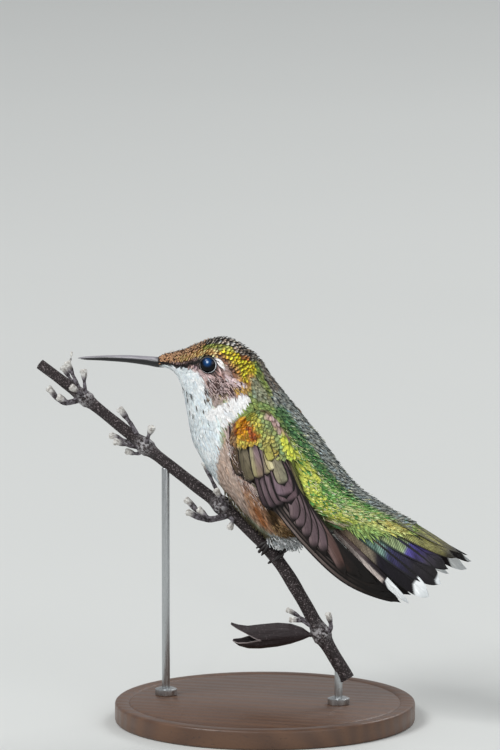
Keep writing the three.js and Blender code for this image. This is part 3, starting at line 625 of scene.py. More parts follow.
# Across the folded wing, from its edge on the flank to its edge on the back, each with its distance from the middle
# plane; then how far the wing bows out between them, and its thickness.
WING_STATIONS = [
    ("wrist", (-4.6, 8.3, 60.6), (-2.9, 8.3, 62.6), 0.5, 1.0),
    ("lesser coverts", (-4.9, 8.7, 57.0), (2.2, 8.3, 63.6), 1.3, 1.9),
    ("greater coverts", (-2.9, 9.2, 52.2), (6.6, 9.0, 58.0), 1.3, 2.0),
    ("secondaries", (0.4, 9.2, 48.3), (9.0, 9.0, 52.7), 1.2, 1.8),
    ("inner primaries", (3.2, 8.9, 44.0), (11.2, 8.4, 46.4), 1.0, 1.5),
    ("rump side", (7.6, 8.2, 39.6), (14.6, 7.4, 41.2), 0.8, 1.2),
    ("primaries", (11.9, 7.4, 35.4), (18.6, 6.4, 36.0), 0.7, 1.0),
    ("outer primaries", (17.0, 6.3, 30.2), (22.6, 5.5, 31.8), 0.5, 0.8),
    ("blade", (22.2, 5.4, 26.9), (26.0, 5.0, 28.8), 0.3, 0.65),
    ("tip", (26.6, 4.9, 25.6), (28.2, 4.8, 26.8), 0.1, 0.5),
]
EYE_CENTRE, EYE_RADIUS = np.array([-10.5, 3.4, 72.12]), 2.2
EYE_FACING = np.array([0.05, 1.0, 0.07]) / np.linalg.norm([0.05, 1.0, 0.07])
LID_RADIUS = 1.55


def through(stations, places):
    """Rows of numbers, flowing through the stations' rows, at any places between them."""
    rows = np.array(stations, float)
    i = np.clip(np.floor(places).astype(int), 0, len(rows) - 2)
    f = (places - i)[:, None]
    ends = np.vstack([2 * rows[0] - rows[1], rows, 2 * rows[-1] - rows[-2]])
    p0, p1, p2, p3 = ends[i], ends[i + 1], ends[i + 2], ends[i + 3]
    return p1 + 0.5 * f * ((p2 - p0) + f * ((2 * p0 - 5 * p1 + 4 * p2 - p3) + f * (3 * p1 - p0 - 3 * p2 + p3)))


class Form:
    """A surface that feathers grow on: a fine grid of its points, with their normals and the size of each step."""

    def __init__(self, grid, span, outwards):
        self.grid, self.span = grid, np.array(span, float)
        along, across = np.gradient(grid, axis=0), np.gradient(grid, axis=1)
        normals = np.cross(along, across)
        normals /= np.maximum(np.linalg.norm(normals, axis=2), 1e-9)[:, :, None]
        middle = grid.shape[0] // 2, grid.shape[1] // 4
        self.normals = normals * (1 if normals[middle] @ np.array(outwards) > 0 else -1)
        cells = (np.array(grid.shape[:2]) - 1) / self.span
        self.pace = np.stack([np.linalg.norm(along, axis=2) * cells[0], np.linalg.norm(across, axis=2) * cells[1]], -1)

    def read(self, what, p, q):
        """Any of the grids at places p along and q across, between its points."""
        p, q = np.broadcast_arrays(np.asarray(p, float), np.asarray(q, float))
        high = np.array(what.shape[:2]) - 1
        i = np.clip(p / self.span[0] * high[0], 0, high[0] - 1e-6)
        j = np.clip(q / self.span[1] * high[1], 0, high[1] - 1e-6)
        a, b = i.astype(int), j.astype(int)
        f, g = (i - a)[..., None], (j - b)[..., None]
        near, far = [what[a, k] * (1 - f) + what[a + 1, k] * f for k in (b, b + 1)]
        return near * (1 - g) + far * g


body_places = np.linspace(0, BODY_END, 521)
body_turns = np.radians(np.arange(361.0))
body_rows = through([[*back, *front, *rest] for _, back, front, *rest in BODY_STATIONS], body_places)
body_back, body_front = body_rows[:, None, 0:2], body_rows[:, None, 2:4]
body_half, body_level, body_keel = (body_rows[:, k, None] for k in (4, 5, 6))
body_middle = body_front + (body_back - body_front) * body_level[:, :, None]
body_rise = np.cos(body_turns)[None, :]
body_xz = body_middle + np.where(body_rise[..., None] > 0, body_back - body_middle, body_front - body_middle) * abs(
    body_rise[..., None]
)
body_y = body_half * (1 - body_keel * np.maximum(0, -body_rise)) * np.sin(body_turns)[None, :]
body = Form(np.stack([body_xz[..., 0], body_y, body_xz[..., 1]], -1), (BODY_END, 360), (0, 1, 0))

wing_places, wing_shares = np.linspace(0, 9, 181), np.linspace(0, 1, 41)
wing_rows = through([[*low, *high, *rest] for _, low, high, *rest in WING_STATIONS], wing_places)
wing_arch = np.sqrt(np.maximum(0, 4 * wing_shares * (1 - wing_shares)))
wing_grid = wing_rows[:, None, 0:3] + (wing_rows[:, None, 3:6] - wing_rows[:, None, 0:3]) * wing_shares[None, :, None]
wing_inner = wing_grid.copy()
wing_grid[..., 1] += wing_rows[:, 6, None] * wing_arch
wing_inner[..., 1] = wing_grid[..., 1] - (
    0.18 * wing_rows[:, 7, None] + 0.82 * wing_rows[:, 7, None] * wing_arch
)
wing_outline = np.vstack([wing_grid[::6, 0], wing_grid[::-6, -1]])[:, [0, 2]]


def inside_outline(outline, spots):
    """Which of the spots (x, z) lie inside a closed outline."""
    ends = np.roll(outline, -1, axis=0)
    inside = np.zeros(len(spots), bool)
    for (x0, z0), (x1, z1) in zip(outline, ends):
        crosses = (z0 > spots[:, 1]) != (z1 > spots[:, 1])
        reach = (x1 - x0) * (spots[:, 1] - z0) / (z1 - z0 if z1 != z0 else 1e-9) + x0
        inside ^= crosses & (spots[:, 0] < reach)
    return inside


def nearest_wing_y(sheet, spots):
    """The distance from the middle plane of one side of the wing, under the spots (x, z)."""
    coarse = sheet[::4, ::4].reshape(-1, 3)
    found = np.empty(len(spots))
    for start in range(0, len(spots), 20000):
        part = spots[start : start + 20000]
        gap = (part[:, None, 0] - coarse[None, :, 0]) ** 2 + (part[:, None, 1] - coarse[None, :, 2]) ** 2
        weight = np.exp(-gap / 1.2) + 1e-4 / (gap + 0.05) ** 2
        found[start : start + 20000] = (weight * coarse[None, :, 1]).sum(1) / weight.sum(1)
    return found


def behind_wing(points):
    """Which points lie under a folded wing."""
    return inside_outline(wing_outline, points[:, [0, 2]]) & (abs(points[:, 1]) > 3)


def tucked(points, room=0.25):
    """Points of skin or coat, laid under the folded wings."""
    points = points.copy()
    side = np.where(points[:, 1] < 0, -1.0, 1.0)
    covered = np.where(behind_wing(points))[0]
    if len(covered):
        limit = nearest_wing_y(wing_inner, points[covered][:, [0, 2]]) - room
        points[covered, 1] = side[covered] * np.minimum(abs(points[covered, 1]), limit)
    return points


def eye_frame(points):
    """How far points stand out along the eye's axis, and their offset from it, on the side where they lie."""
    side = np.where(points[:, 1] < 0, -1.0, 1.0)[:, None]
    flip = np.concatenate([np.ones_like(side), side, np.ones_like(side)], 1)
    apart = points * flip - EYE_CENTRE
    out = apart @ EYE_FACING
    return out, apart - out[:, None] * EYE_FACING, flip


def coat_depth(place):
    """How far the skin lies inside the bird's outline: least on the face."""
    return np.interp(place, [0, 1, 3, 5, 7, 9, 12, 13], [0.16, 0.2, 0.32, 0.5, 0.85, 1.0, 0.9, 0.5])


def on_body(place, turn, height=0.0):
    """Points on the bird, at a place from the bill (0) to the covert tips (13) and a turn in degrees from the back,
    `height` above the skin."""
    turn = np.mod(turn, 360)
    place = np.clip(place, 0, BODY_END)
    lift = (np.asarray(height) - coat_depth(place))[..., None]
    return body.read(body.grid, place, turn) + body.read(body.normals, place, turn) * lift


def mark_colour(mesh, name, colours, fourth):
    """Gives a mesh one colour for each of its points, with a number beside it."""
    values = np.concatenate([colours, fourth[:, None]], 1).astype(np.float32)
    mesh.attributes.new(name, "FLOAT_COLOR", "POINT").data.foreach_set("color", values.ravel())


def bake_map(mesh, uvs, name="OFBake"):
    """A UV map from one pair for each face corner."""
    layer = mesh.uv_layers.new(name=name)
    layer.data.foreach_set("uv", np.asarray(uvs, np.float32).ravel())


# Markings, laid on in this order: a path of (place, turn) over the body, its reach in millimetres, how soft its
# border is, the colours of the feathers' middles and of their edges, and how much they gleam.
MARKINGS = [
    ("back ground", [(6.6, 30), (8.2, 36), (9.5, 42), (10.5, 45), (12, 50), (13, 60)], 9.5, 0.3,
     "#9aac60 #5c6d3a", 0.3),
    ("back strip", [(6, 0), (7, 3), (8, 8), (9.6, 8), (11.2, 4), (13, 0)], (4.2, 4.4, 4.9, 4.6, 4.0, 3.4), 0.35,
     "#a5ada8 #282e2b", 0.1),
    ("belly", [(8.0, 165), (9, 160), (9.8, 165), (10.8, 165)], 7.0, 0.3, "#cbbdad #9d8d7c", 0),
    ("flank", [(8.2, 120), (9.1, 128), (9.9, 128)], 4.6, 0.5, "#bf9372 #6f4f3b", 0),
    ("flank streaks", [(8.7, 110), (9.2, 112)], 0.8, 0.6, "#e8d2c6 #8f7062", 0),
    ("rusty flank", [(9.45, 128), (9.8, 138)], 1.2, 0.7, "#b97848 #6a3d1f", 0.05),
    ("thigh", [(9.7, 116), (10.0, 126), (10.5, 134)], 2.1, 0.7, "#443014 #1a1107", 0.05),
    ("wing shadow", [(9.35, 112), (9.65, 114), (9.8, 103)], 1.0, 0.6, "#1c150f #0c0908", 0),
    ("belly edge", [(9.0, 168), (9.6, 160), (10.2, 160)], 2.0, 0.6, "#a3a68d #6e7360", 0),
    ("vent", [(10.6, 168), (11.2, 160), (12.0, 150), (13, 150)], (3.0, 3.4, 4.2, 4.2), 0.4, "#e8eeee #c8d0d0", 0),
    ("crown ground", [(0.2, 0), (1.5, 0), (3, 0), (4, 2), (5.2, 6), (6, 6), (6.8, 4)],
     (1.6, 2.6, 3.6, 3.8, 3.8, 3.6, 3.2), 0.3, "#cdc2b6 #1f1916", 0.15),
    ("face ground", [(0.1, 60), (1.5, 68), (3, 74), (4.2, 84), (5.4, 74), (6.3, 62)], (1.3, 2.2, 2.5, 3.1, 3.9, 3.4),
     0.25, "#9c8681 #523c37", 0),
    ("throat", [(0.0, 172), (0.3, 165), (1.2, 152), (2.3, 142), (3.4, 138), (4.4, 138), (5.4, 142)],
     (0.6, 0.8, 1.6, 2.4, 3.9, 4.9, 5.3), 0.1, "#e9f0f3 #c3ced3", 0),
    ("throat middle", [(1.2, 180), (2.6, 180), (4, 180), (6, 180), (7.4, 180)], (1.2, 2.6, 4, 5, 5), 0.25,
     "#e9f0f3 #c3ced3", 0),
    ("upper breast", [(5.3, 132), (6.2, 122), (6.9, 132), (7.5, 160)], (5.0, 5.7, 5.4, 5.3), 0.2, "#e4ecef #cbd5d9", 0),
    ("breast side", [(7.45, 80), (7.75, 96), (8.1, 114), (8.6, 134), (9.1, 150)], (1.2, 2.2, 3.2, 4.0, 4.0), 0.4,
     "#cdb8aa #856a5b", 0),
    ("nape dusk", [(5.8, 8), (6.6, 6), (7.3, 8)], 2.8, 0.5, "#8a8174 #2c2723", 0.2),
    ("forehead", [(0.0, 40), (1.2, 44), (2.4, 42), (3.4, 34)], (1.3, 2.0, 2.3, 1.9), 0.35, "#b58660 #2c190c", 0.1),
    ("bill feathers", [(0.0, 84), (0.0, 40), (0.9, 30)], (0.6, 0.9, 1.0), 0.6, "#d09c7a #24150f", 0.1),
    ("lores", [(0.6, 64), (1.6, 66), (2.7, 64), (3.5, 58)], (0.6, 1.0, 1.3, 0.8), 0.4, "#e3b07e #2c1b13", 0.1),
    ("cheek", [(4.5, 86), (5.3, 78), (6.0, 68), (6.4, 56)], (2.3, 2.6, 2.5, 2.2), 0.4, "#c9aeab #4a3532", 0),
    ("cheek foot", [(5.3, 92), (5.75, 91), (6.0, 86)], 1.5, 0.5, "#b3a298 #5c4a3c", 0),
    ("cheek shade", [(4.9, 76), (5.3, 70), (5.7, 64)], 0.9, 0.7, "#a3837e #46322e", 0),
    ("throat side", [(2.5, 102), (3.7, 97), (4.6, 93), (5.1, 92), (5.45, 94), (5.8, 98), (6.0, 101)],
     (0.8, 0.95, 1.15, 1.2, 1.15, 1.1, 1.1), 0.25, "#e9f0f3 #cbd5d9", 0),
    ("pale lores", [(4.0, 80), (4.4, 80)], 0.6, 0.6, "#bfabb2 #76616a", 0),
    ("brow gold", [(2.4, 62), (3.5, 55), (4.1, 49), (4.8, 47), (5.2, 46)], 1.15, 0.5, "#f6cf8c #8a6232", 0.3),
    ("brow green", [(3.9, 38), (4.7, 34), (5.3, 30)], 0.95, 0.6, "#ccd06a #686a30", 0.35),
    ("nape green", [(6.3, 24), (6.8, 28), (7.4, 32)], 1.7, 0.5, "#94aa50 #3f4a24", 0.35),
    ("hind crown shade", [(5.2, 46), (5.7, 42), (6.2, 44), (6.5, 50)], (1.2, 1.9, 1.8, 1.3), 0.5,
     "#d2a04e #6a4a20", 0.25),
    ("hind crown", [(5.1, 40), (5.5, 36), (5.9, 34), (6.2, 36), (6.45, 42)], (0.7, 1.3, 1.8, 1.9, 1.5), 0.4,
     "#f3dc2e #7d6d1a", 0.3),
    ("orange flecks", [(5.7, 27), (5.95, 23)], 0.6, 0.5, "#de9a5c #6b4320", 0.3),
    ("orange edge", [(6.5, 38), (6.75, 45), (6.65, 52)], 0.8, 0.6, "#dfaa5c #7b5526", 0.3),
    ("chin", [(0.0, 178), (0.0, 134), (0.6, 142)], 0.75, 0.3, "#d9dee0 #b9bfc2", 0),
    ("gape", [(0.0, 104), (0.7, 104), (1.5, 107), (2.5, 94), (3.2, 88), (3.7, 76), (4.0, 70)],
     (0.75, 0.8, 0.68, 0.58, 0.5, 0.6, 0.5), 0.3, "#1d1512 #0d0908", 0),
    ("eye stripe", [(5.05, 49), (5.45, 50), (5.85, 52), (6.1, 56)], (0.35, 0.6, 0.7, 0.5), 0.5, "#8d6650 #301d16", 0.1),
    ("pink ear", [(5.8, 62), (6.2, 58), (6.6, 52)], 0.7, 0.6, "#e6cfd0 #8a6c6e", 0),
    ("cheek gold", [(6.5, 62), (6.7, 55), (6.85, 50)], 0.9, 0.6, "#d8b25e #7d5b2c", 0.2),
    ("collar", [(6.1, 104), (6.35, 95), (6.65, 83), (6.9, 70), (7.05, 60)], (1.1, 1.5, 1.7, 1.6, 1.2), 0.3,
     "#fdfcfb #f6f4f2", 0),
    ("collar side", [(7.05, 92), (7.05, 84), (7.1, 76), (7.15, 67)], (1.2, 1.1, 1.0, 0.9), 0.4, "#eef0f0 #d9d8d6", 0),
    ("cheek corner", [(5.95, 79), (6.15, 74)], 0.5, 0.7, "#8d7d4e #54482a", 0.1),
    ("cheek fleck", [(5.6, 95), (5.7, 94)], 0.4, 0.7, "#6b5c4a #3d3226", 0),
    ("eye wedge", [(5.02, 54), (5.2, 56), (5.45, 58.5)], (0.4, 0.68, 0.5), 0.25, "#fbf8f5 #f0eae5", 0),
    ("dull neck", [(6.8, 36), (7.3, 40), (7.7, 38)], (1.4, 2.2, 1.6), 0.6, "#a3a58a #54573f", 0.1),
    ("side neck", [(7.7, 46), (8.0, 41), (8.4, 36)], 1.5, 0.6, "#a9c06f #5f7440", 0.35),
    ("middle back", [(8.2, 30), (9.1, 34), (9.8, 37), (10.6, 38), (11.6, 40)], (2.3, 2.3, 2.0, 1.8, 1.2), 0.7,
     "#5f8a4e #2b4a36", 0.3),
    # Painted sheen: the gold band, the rump sheen and the rump gold are the bright yellow-green shine that the light
    # gives the green back and rump, laid on as colour.
    ("gold band", [(8.7, 52), (9.4, 56), (10, 61), (10.8, 68), (12.2, 76)], (2.0, 2.6, 3.1, 2.6, 2.2), 0.6,
     "#e9f06a #a3b04c", 0.3),
    ("scapular pink", [(8.15, 50), (8.75, 47)], 1.1, 0.6, "#d0b4ac #8b6e66", 0.1),
    ("rump sheen", [(9.9, 50), (10.8, 54), (11.7, 60), (12.4, 64)], (1.9, 2.2, 2.4, 2.4), 0.7, "#afdc7e #56894a", 0.3),
    ("rump gold", [(11.2, 66), (11.9, 66), (12.6, 68)], 1.6, 0.6, "#e2eaa2 #a2aa66", 0.35),
    ("covert buff", [(10.8, 99), (11.7, 100), (12.2, 96)], 0.55, 0.6, "#e3cfae #8f7858", 0.05),
    ("covert tops", [(11.9, 14), (12.7, 10)], 2.6, 0.6, "#a3a9a1 #474b46", 0.2),
]
body_markings = [(on_body(*np.array(path, float).T, 0.5), *rest) for _, path, *rest in MARKINGS]
# A dark ring round each eye: painted shadow in the socket round the eyeball.
eye_socket_shadow = np.tile(EYE_CENTRE + EYE_FACING * 1.3, (2, 1))
body_markings.append((eye_socket_shadow, 2.0, 0.12, "#4a3c3a #15100f", 0))


def rgb(code):
    """A written colour as three linear numbers."""
    return np.array(colour(code)[:3])


def paint(spots, markings):
    """The coat's colours at points in space: middles, edges and gleam. Both sides of the bird are alike."""
    spots = np.concatenate([spots[:, :1], abs(spots[:, 1:2]), spots[:, 2:]], 1)
    middle = np.tile(rgb("#9aa67c"), (len(spots), 1))
    edge = np.tile(rgb("#5d664c"), (len(spots), 1))
    gleam = np.full(len(spots), 0.3)
    for path, reach, soft, tones, shine in markings:
        tint, hem = [rgb(code) for code in tones.split()]
        reaches = np.broadcast_to(np.array(reach, float), len(path))
        weight = np.zeros(len(spots))
        for a, b, near, far in zip(path[:-1], path[1:], reaches[:-1], reaches[1:]):
            run = b - a
            share = unit((spots - a) @ run / max(run @ run, 1e-9))
            size = near + (far - near) * share
            gap = np.linalg.norm(spots - a - share[:, None] * run, axis=1)
            weight = np.maximum(weight, unit((size - gap) / (size * soft)))
        weight = (weight * weight * (3 - 2 * weight))[:, None]
        middle += weight * (tint - middle)
        edge += weight * (hem - edge)
        gleam += weight[:, 0] * (shine - gleam)
    return middle, edge, gleam


SKIN_ALONG, SKIN_ROUND = 170, 108
skin_turns = np.linspace(0, 360, SKIN_ROUND, endpoint=False)
skin_p, skin_q = np.meshgrid(np.linspace(0, BODY_END, SKIN_ALONG + 1), skin_turns, indexing="ij")
skin_rings = on_body(skin_p, skin_q)
skin_flat = tucked(skin_rings.reshape(-1, 3), room=0.6)
eye_out, eye_off, eye_flip = eye_frame(skin_flat)
eye_gap = np.linalg.norm(eye_off, axis=1)
socket = (eye_gap < 2.0) & (eye_out > 0)
socket_floor = np.sqrt(np.maximum(EYE_RADIUS**2 - eye_gap**2, 0.2)) - 0.5
ease = unit((eye_gap - 1.6) / 0.4)
eye_out = np.where(socket, socket_floor * (1 - ease) + eye_out * ease, eye_out)
skin_flat = np.where(socket[:, None], (EYE_CENTRE + eye_out[:, None] * EYE_FACING + eye_off) * eye_flip, skin_flat)
skin_points, skin_faces = closed_loft(skin_flat.reshape(skin_rings.shape))

skin_finish = Finish("bird_skin", Roughness=0.7)
skin_tint = skin_finish.attribute("tint")["Color"]
skin_grain = skin_finish.noise(skin_finish.place(), 3.0, 4)
skin_finish.feed(
    Base_Color=skin_finish.mixed(skin_finish.times(skin_grain, 0.5), skin_tint, "#4c4744"),
    Normal=skin_finish.bumped(skin_grain, 0.08),
)
skin = piece("skin", skin_points, skin_faces, skin_finish, angle=180)
_, skin_edge, _ = paint(skin_points, body_markings)
mark_colour(skin.data, "tint", skin_edge * 0.8, np.ones(len(skin_points)))
skin_uvs = []
for face in skin.data.polygons:
    corners = [
        (v // SKIN_ROUND / SKIN_ALONG, v % SKIN_ROUND / SKIN_ROUND) if v < SKIN_ROUND * (SKIN_ALONG + 1) else None
        for v in face.vertices
    ]
    known = [c for c in corners if c]
    wraps = max(c[1] for c in known) > 0.75 and min(c[1] for c in known) < 0.25
    for c in corners:
        c = c or (known[0][0], sum(k[1] for k in known) / len(known))
        skin_uvs.append((c[1] + (1 if wraps and c[1] < 0.25 else 0), c[0]))
bake_map(skin.data, skin_uvs)
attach(skin, "root")
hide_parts("head", "neck", "trunk", "rump")

# ---------------- body feathers
# Small overlapping feathers over the skin, in staggered rows from the bill to the tail: scales on the crown and
# back, soft and white on the throat and breast, loose on the flanks and round the vent.
def vane_faces(rows, cols):
    """The faces of a closed vane over a grid of points, whose under side shares its rim. Also which of the grid's
    points have one of their own below them, and which of all the points are on the rim."""
    index = np.arange((rows + 1) * (cols + 1)).reshape(rows + 1, cols + 1)
    inner = index[1:rows, 1:cols].ravel()
    below = index.copy()
    below[1:rows, 1:cols] = index.size + np.arange(inner.size).reshape(rows - 1, cols - 1)
    top = np.stack([index[:-1, :-1], index[1:, :-1], index[1:, 1:], index[:-1, 1:]], -1)
    under = np.stack([below[:-1, :-1], below[:-1, 1:], below[1:, 1:], below[1:, :-1]], -1)
    rim = np.arange(index.size + inner.size) < index.size
    rim[inner] = False
    return np.stack([top, under], 2).reshape(-1, 4), inner, rim


def grow_vanes(form, p, q, length, width, lean, base, lift, point, fray, cup, surface, rows, cols, thick=0.05):
    """Feathers as thin closed vanes. `surface(p, q, height)` gives their points. p and q are the roots' places, and
    length, width, lean (degrees), base and lift (height of root and tip), point (0 round, 1 pointed), fray and cup
    are one number for each feather or for all. Returns the points, the faces, the two maps with one pair for each
    point, and which points are on the rim."""
    count, full = len(p), (rows + 1) * (cols + 1)
    length, width, lean, base, lift, point, fray, cup = [
        np.broadcast_to(x, count)[:, None, None] for x in (length, width, lean, base, lift, point, fray, cup)
    ]
    s = np.linspace(0, 1, rows + 1)[None, :, None] ** 0.85
    c = np.linspace(-1, 1, cols + 1)[None, None, :]
    round_half = np.interp(s, [0, 0.2, 0.45, 0.7, 0.88, 1], [0.35, 0.7, 0.95, 1.0, 0.8, 0.32])
    sharp_half = np.interp(s, [0, 0.2, 0.45, 0.7, 0.88, 1], [0.35, 0.8, 1.0, 0.74, 0.4, 0.1])
    half = round_half + (sharp_half - round_half) * point
    ragged = np.where(np.arange(cols + 1) % 2, -1.0, 1.0) * fray
    along = (s - 0.14 * (1 - 0.4 * point) * c**2 * s**4 + ragged * s**4) * length
    across = c * half * (width / 2)
    turn = np.radians(lean)
    pace = form.read(form.pace, p, np.mod(q, form.span[1]) if form.span[1] == 360 else q)[:, None, None]
    step_p = (along * np.cos(turn) - across * np.sin(turn)) / np.maximum(pace[..., 0], 0.05)
    step_q = (along * np.sin(turn) + across * np.cos(turn)) / np.maximum(pace[..., 1], 0.004)
    height = base + (lift - base) * s**1.4 - cup * c**2 * half * (width / 2)
    at_p, at_q = p[:, None, None] + step_p, q[:, None, None] + step_q
    faces, inner, rim = vane_faces(rows, cols)
    top, under = [surface(at_p, at_q, height - deep).reshape(count, full, 3) for deep in (0.0, thick)]
    faces = (faces[None] + (np.arange(count) * len(rim))[:, None, None]).reshape(-1, 4)
    vane = np.stack(np.broadcast_arrays((c[0] + 1) / 2, s[0]), -1).reshape(full, 2)
    vane = np.vstack([vane, vane[inner]])
    root = np.stack([np.mod(q, form.span[1]) / form.span[1], p / form.span[0]], -1)
    patch = np.clip(root[:, None], 0.002, 0.998) + (vane[None] - 0.5) * 0.003
    return np.concatenate([top, under[:, inner]], axis=1), faces, patch, np.broadcast_to(vane, patch.shape), rim


def feather_piece(name, points, faces, bake, vane, rim, tint, gleam, hem, hatch, finish, slot):
    """One joined piece of feathers, from arrays with one row for each point: its two maps, the colour and gleam of
    the vanes, and the colour of their edges with the strength of their hatching."""
    mesh = bpy.data.meshes.new(name)
    mesh.vertices.add(len(points))
    mesh.vertices.foreach_set("co", (points * MM).astype(np.float32).ravel())
    mesh.loops.add(faces.size)
    mesh.loops.foreach_set("vertex_index", faces.astype(np.int32).ravel())
    mesh.polygons.add(len(faces))
    mesh.polygons.foreach_set("loop_start", np.arange(0, faces.size, 4, dtype=np.int32))
    mesh.update(calc_edges=True)
    mesh.polygons.foreach_set("use_smooth", np.ones(len(faces), bool))
    edges = np.empty(len(mesh.edges) * 2, np.int32)
    mesh.edges.foreach_get("vertices", edges)
    on_rim = rim[edges.reshape(-1, 2)].all(1)
    mesh.attributes.new("sharp_edge", "BOOLEAN", "EDGE").data.foreach_set("value", on_rim)
    bake_map(mesh, bake[faces.ravel()])
    bake_map(mesh, vane[faces.ravel()], "vane")
    mark_colour(mesh, "tint", tint, gleam)
    mark_colour(mesh, "hem", hem, hatch)
    mesh.materials.append(finish.material)
    made = bpy.data.objects.new(name, mesh)
    bpy.context.collection.objects.link(made)
    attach(made, "root")
    return made


def one_colour(tones):
    """A marking that takes in the whole bird."""
    return [(np.array([[-30, 0, 60], [0, 0, 60.0]]), 90, 0.1, tones, 0)]


def body_vanes(name, grown, markings, finish, slot, vary=0.1):
    """A piece of small feathers, coloured by where each one lies, each a little lighter or darker than its mark."""
    points, faces, bake, vane, rim = grown
    count, each = points.shape[:2]
    middle = points[:, each // 2]
    spots = (points * 0.3 + middle[:, None] * 0.7).reshape(-1, 3)
    tint, hem, gleam = paint(spots, markings)
    light = chance.normal(1, vary, count) * (1 + 3 * vary * (chance.uniform(0, 1, count) < 0.12))
    warmth = chance.normal(0, 1, count) * (0.03 + 0.3 * gleam.reshape(count, each)[:, 0])
    shade = light[:, None] * (1 + warmth[:, None] * np.array([1.0, 0.0, -1.0]))
    tint = np.clip(tint * np.repeat(shade, each, 0), 0, 0.92)
    gleam = np.clip(gleam * np.repeat(chance.uniform(0.5, 1.3, count), each), 0, 0.7)
    flat = bake.reshape(-1, 2), vane.reshape(-1, 2), np.tile(rim, count)
    feather_piece(name, points.reshape(-1, 3), faces, *flat, tint, gleam, hem, np.ones(count * each), finish, slot)


# The structure of a vane, for every feather: its barbs, its shaft, its edge and its hidden root, from its own map. The
# root's mask is used for painted shade, where each feather lies under the next one.
vane_group = bpy.data.node_groups.new("vane_structure", "ShaderNodeTree")
for socket_name, start in [
    ("Vane", None),
    ("Barbs", 20.0),
    ("Slant", 6.0),
    ("Shaft Place", 0.5),
    ("Shaft Width", 0.03),
    ("Edge Width", 0.25),
    ("Root Reach", 0.5),
    ("Own", None),
]:
    kind = "NodeSocketVector" if start is None else "NodeSocketFloat"
    made_socket = vane_group.interface.new_socket(name=socket_name, in_out="INPUT", socket_type=kind)
    if start is not None:
        made_socket.default_value = start
for socket_name in ("Barb", "Edge", "Shaft", "Root", "Streak"):
    vane_group.interface.new_socket(name=socket_name, in_out="OUTPUT", socket_type="NodeSocketFloat")
group = Nodes(vane_group)
given = vane_group.nodes.new("NodeGroupInput").outputs
aside, ahead, _ = group.wire("SeparateXYZ", {0: given["Vane"]}).outputs
from_shaft = group.sums("ABSOLUTE", group.minus(aside, given["Shaft Place"]))
barb_turns = group.minus(group.times(ahead, given["Barbs"]), group.times(from_shaft, given["Slant"]))
barb_wave = group.sums("SINE", group.times(barb_turns, 2 * math.pi))


def short_of_edge(share):
    return group.minus(1.0, group.times(given["Edge Width"], share))


from_middle = group.sums("ABSOLUTE", group.sums("MULTIPLY_ADD", aside, 2.0, -1.0))
side_edge = group.ramp(from_middle, short_of_edge(1.0), short_of_edge(0.35))
tip_edge = group.ramp(ahead, short_of_edge(0.6), short_of_edge(0.2))
barb_line = group.wire("CombineXYZ", {0: group.times(barb_turns, 0.5), 1: group.times(aside, 1.6)}).outputs[0]
barb_own = group.wire("VectorMath", {0: barb_line, 1: given["Own"]}, operation="ADD").outputs[0]
gives = vane_group.nodes.new("NodeGroupOutput").inputs
for socket_name, source in {
    "Barb": group.sums("MULTIPLY_ADD", barb_wave, 0.5, 0.5),
    "Edge": group.sums("MAXIMUM", side_edge, tip_edge),
    "Shaft": group.ramp(from_shaft, group.times(given["Shaft Width"], 0.4), given["Shaft Width"], 1.0, 0.0),
    "Root": group.ramp(ahead, group.minus(given["Root Reach"], 0.25), given["Root Reach"], 1.0, 0.0),
    "Streak": group.noise(barb_own, 1.0, 2, 0.6),
}.items():
    vane_group.links.new(source, gives[socket_name])


def vane_nodes(made, own, **takes):
    """The vane structure in a finish, with that finish's own numbers. `own` sets one feather off from another."""
    used = made.tree.nodes.new("ShaderNodeGroup")
    used.node_tree = vane_group
    patch = made.wire("UVMap", uv_map="OFBake").outputs["UV"]
    made.tree.links.new(made.wire("UVMap", uv_map="vane").outputs["UV"], used.inputs["Vane"])
    made.tree.links.new(made.scaled(patch, own), used.inputs["Own"])
    for socket, value in takes.items():
        used.inputs[socket.replace("_", " ")].default_value = value
    return used.outputs


def plume_finish(name, barbs, slant, edge, barb_share, rough, relief, shaft_share=0.25, streak=0.35, root=(0.5, 0.6)):
    """Small body feathers: middle and edge colours from the piece, barbs and a fine shaft from the vane map. `edge`
    and `root` are how far each reaches and how much it shows; `relief` is in millimetres."""
    made = Finish(name, Specular_IOR_Level=0.35)
    tint, hem = made.attribute("tint"), made.attribute("hem")["Color"]
    vane = vane_nodes(made, 300.0, Barbs=barbs, Slant=slant, Edge_Width=edge[0], Shaft_Width=0.04, Root_Reach=root[0])
    tone = tint["Color"]
    # Root darkens the covered root of each feather towards its edge colour: painted shade.
    for part, share in (("Edge", edge[1]), ("Root", root[1]), ("Shaft", shaft_share), ("Barb", barb_share)):
        tone = made.mixed(made.times(vane[part], share), tone, hem)
    tone = made.mixed(made.ramp(vane["Streak"], 0.45, 0.25, 0.0, streak), tone, hem)
    patch = made.ramp(made.noise(made.place(), 1.3, 3, 0.6), 0.3, 0.7, 0.88, 1.08)
    lit = made.times(patch, made.ramp(vane["Streak"], 0.5, 0.75, 1.0, 1.0 + streak * 0.8))
    shine = made.times(tint["Alpha"], made.ramp(vane["Edge"], 0.2, 1.0, 1.0, 0.2))
    made.feed(
        Base_Color=made.scaled(tone, lit),
        Metallic=shine,
        Roughness=made.ramp(shine, 0.0, 0.6, rough, rough - 0.15),
        Normal=made.bumped(vane["Barb"], relief, 0.6),
    )
    return made


scale_finish = plume_finish("crown_scales", 7.0, 3.0, (0.36, 1.0), 0.1, 0.55, 0.01, streak=0.2, root=(0.78, 0.95))
back_finish = plume_finish("back_feathers", 12.0, 5.0, (0.5, 0.5), 0.15, 0.6, 0.02, streak=0.7, root=(0.8, 0.75))
soft_finish = plume_finish("soft_feathers", 12.0, 5.0, (0.4, 0.3), 0.1, 0.75, 0.02, shaft_share=0.1, streak=0.4)

chance = np.random.default_rng(20)


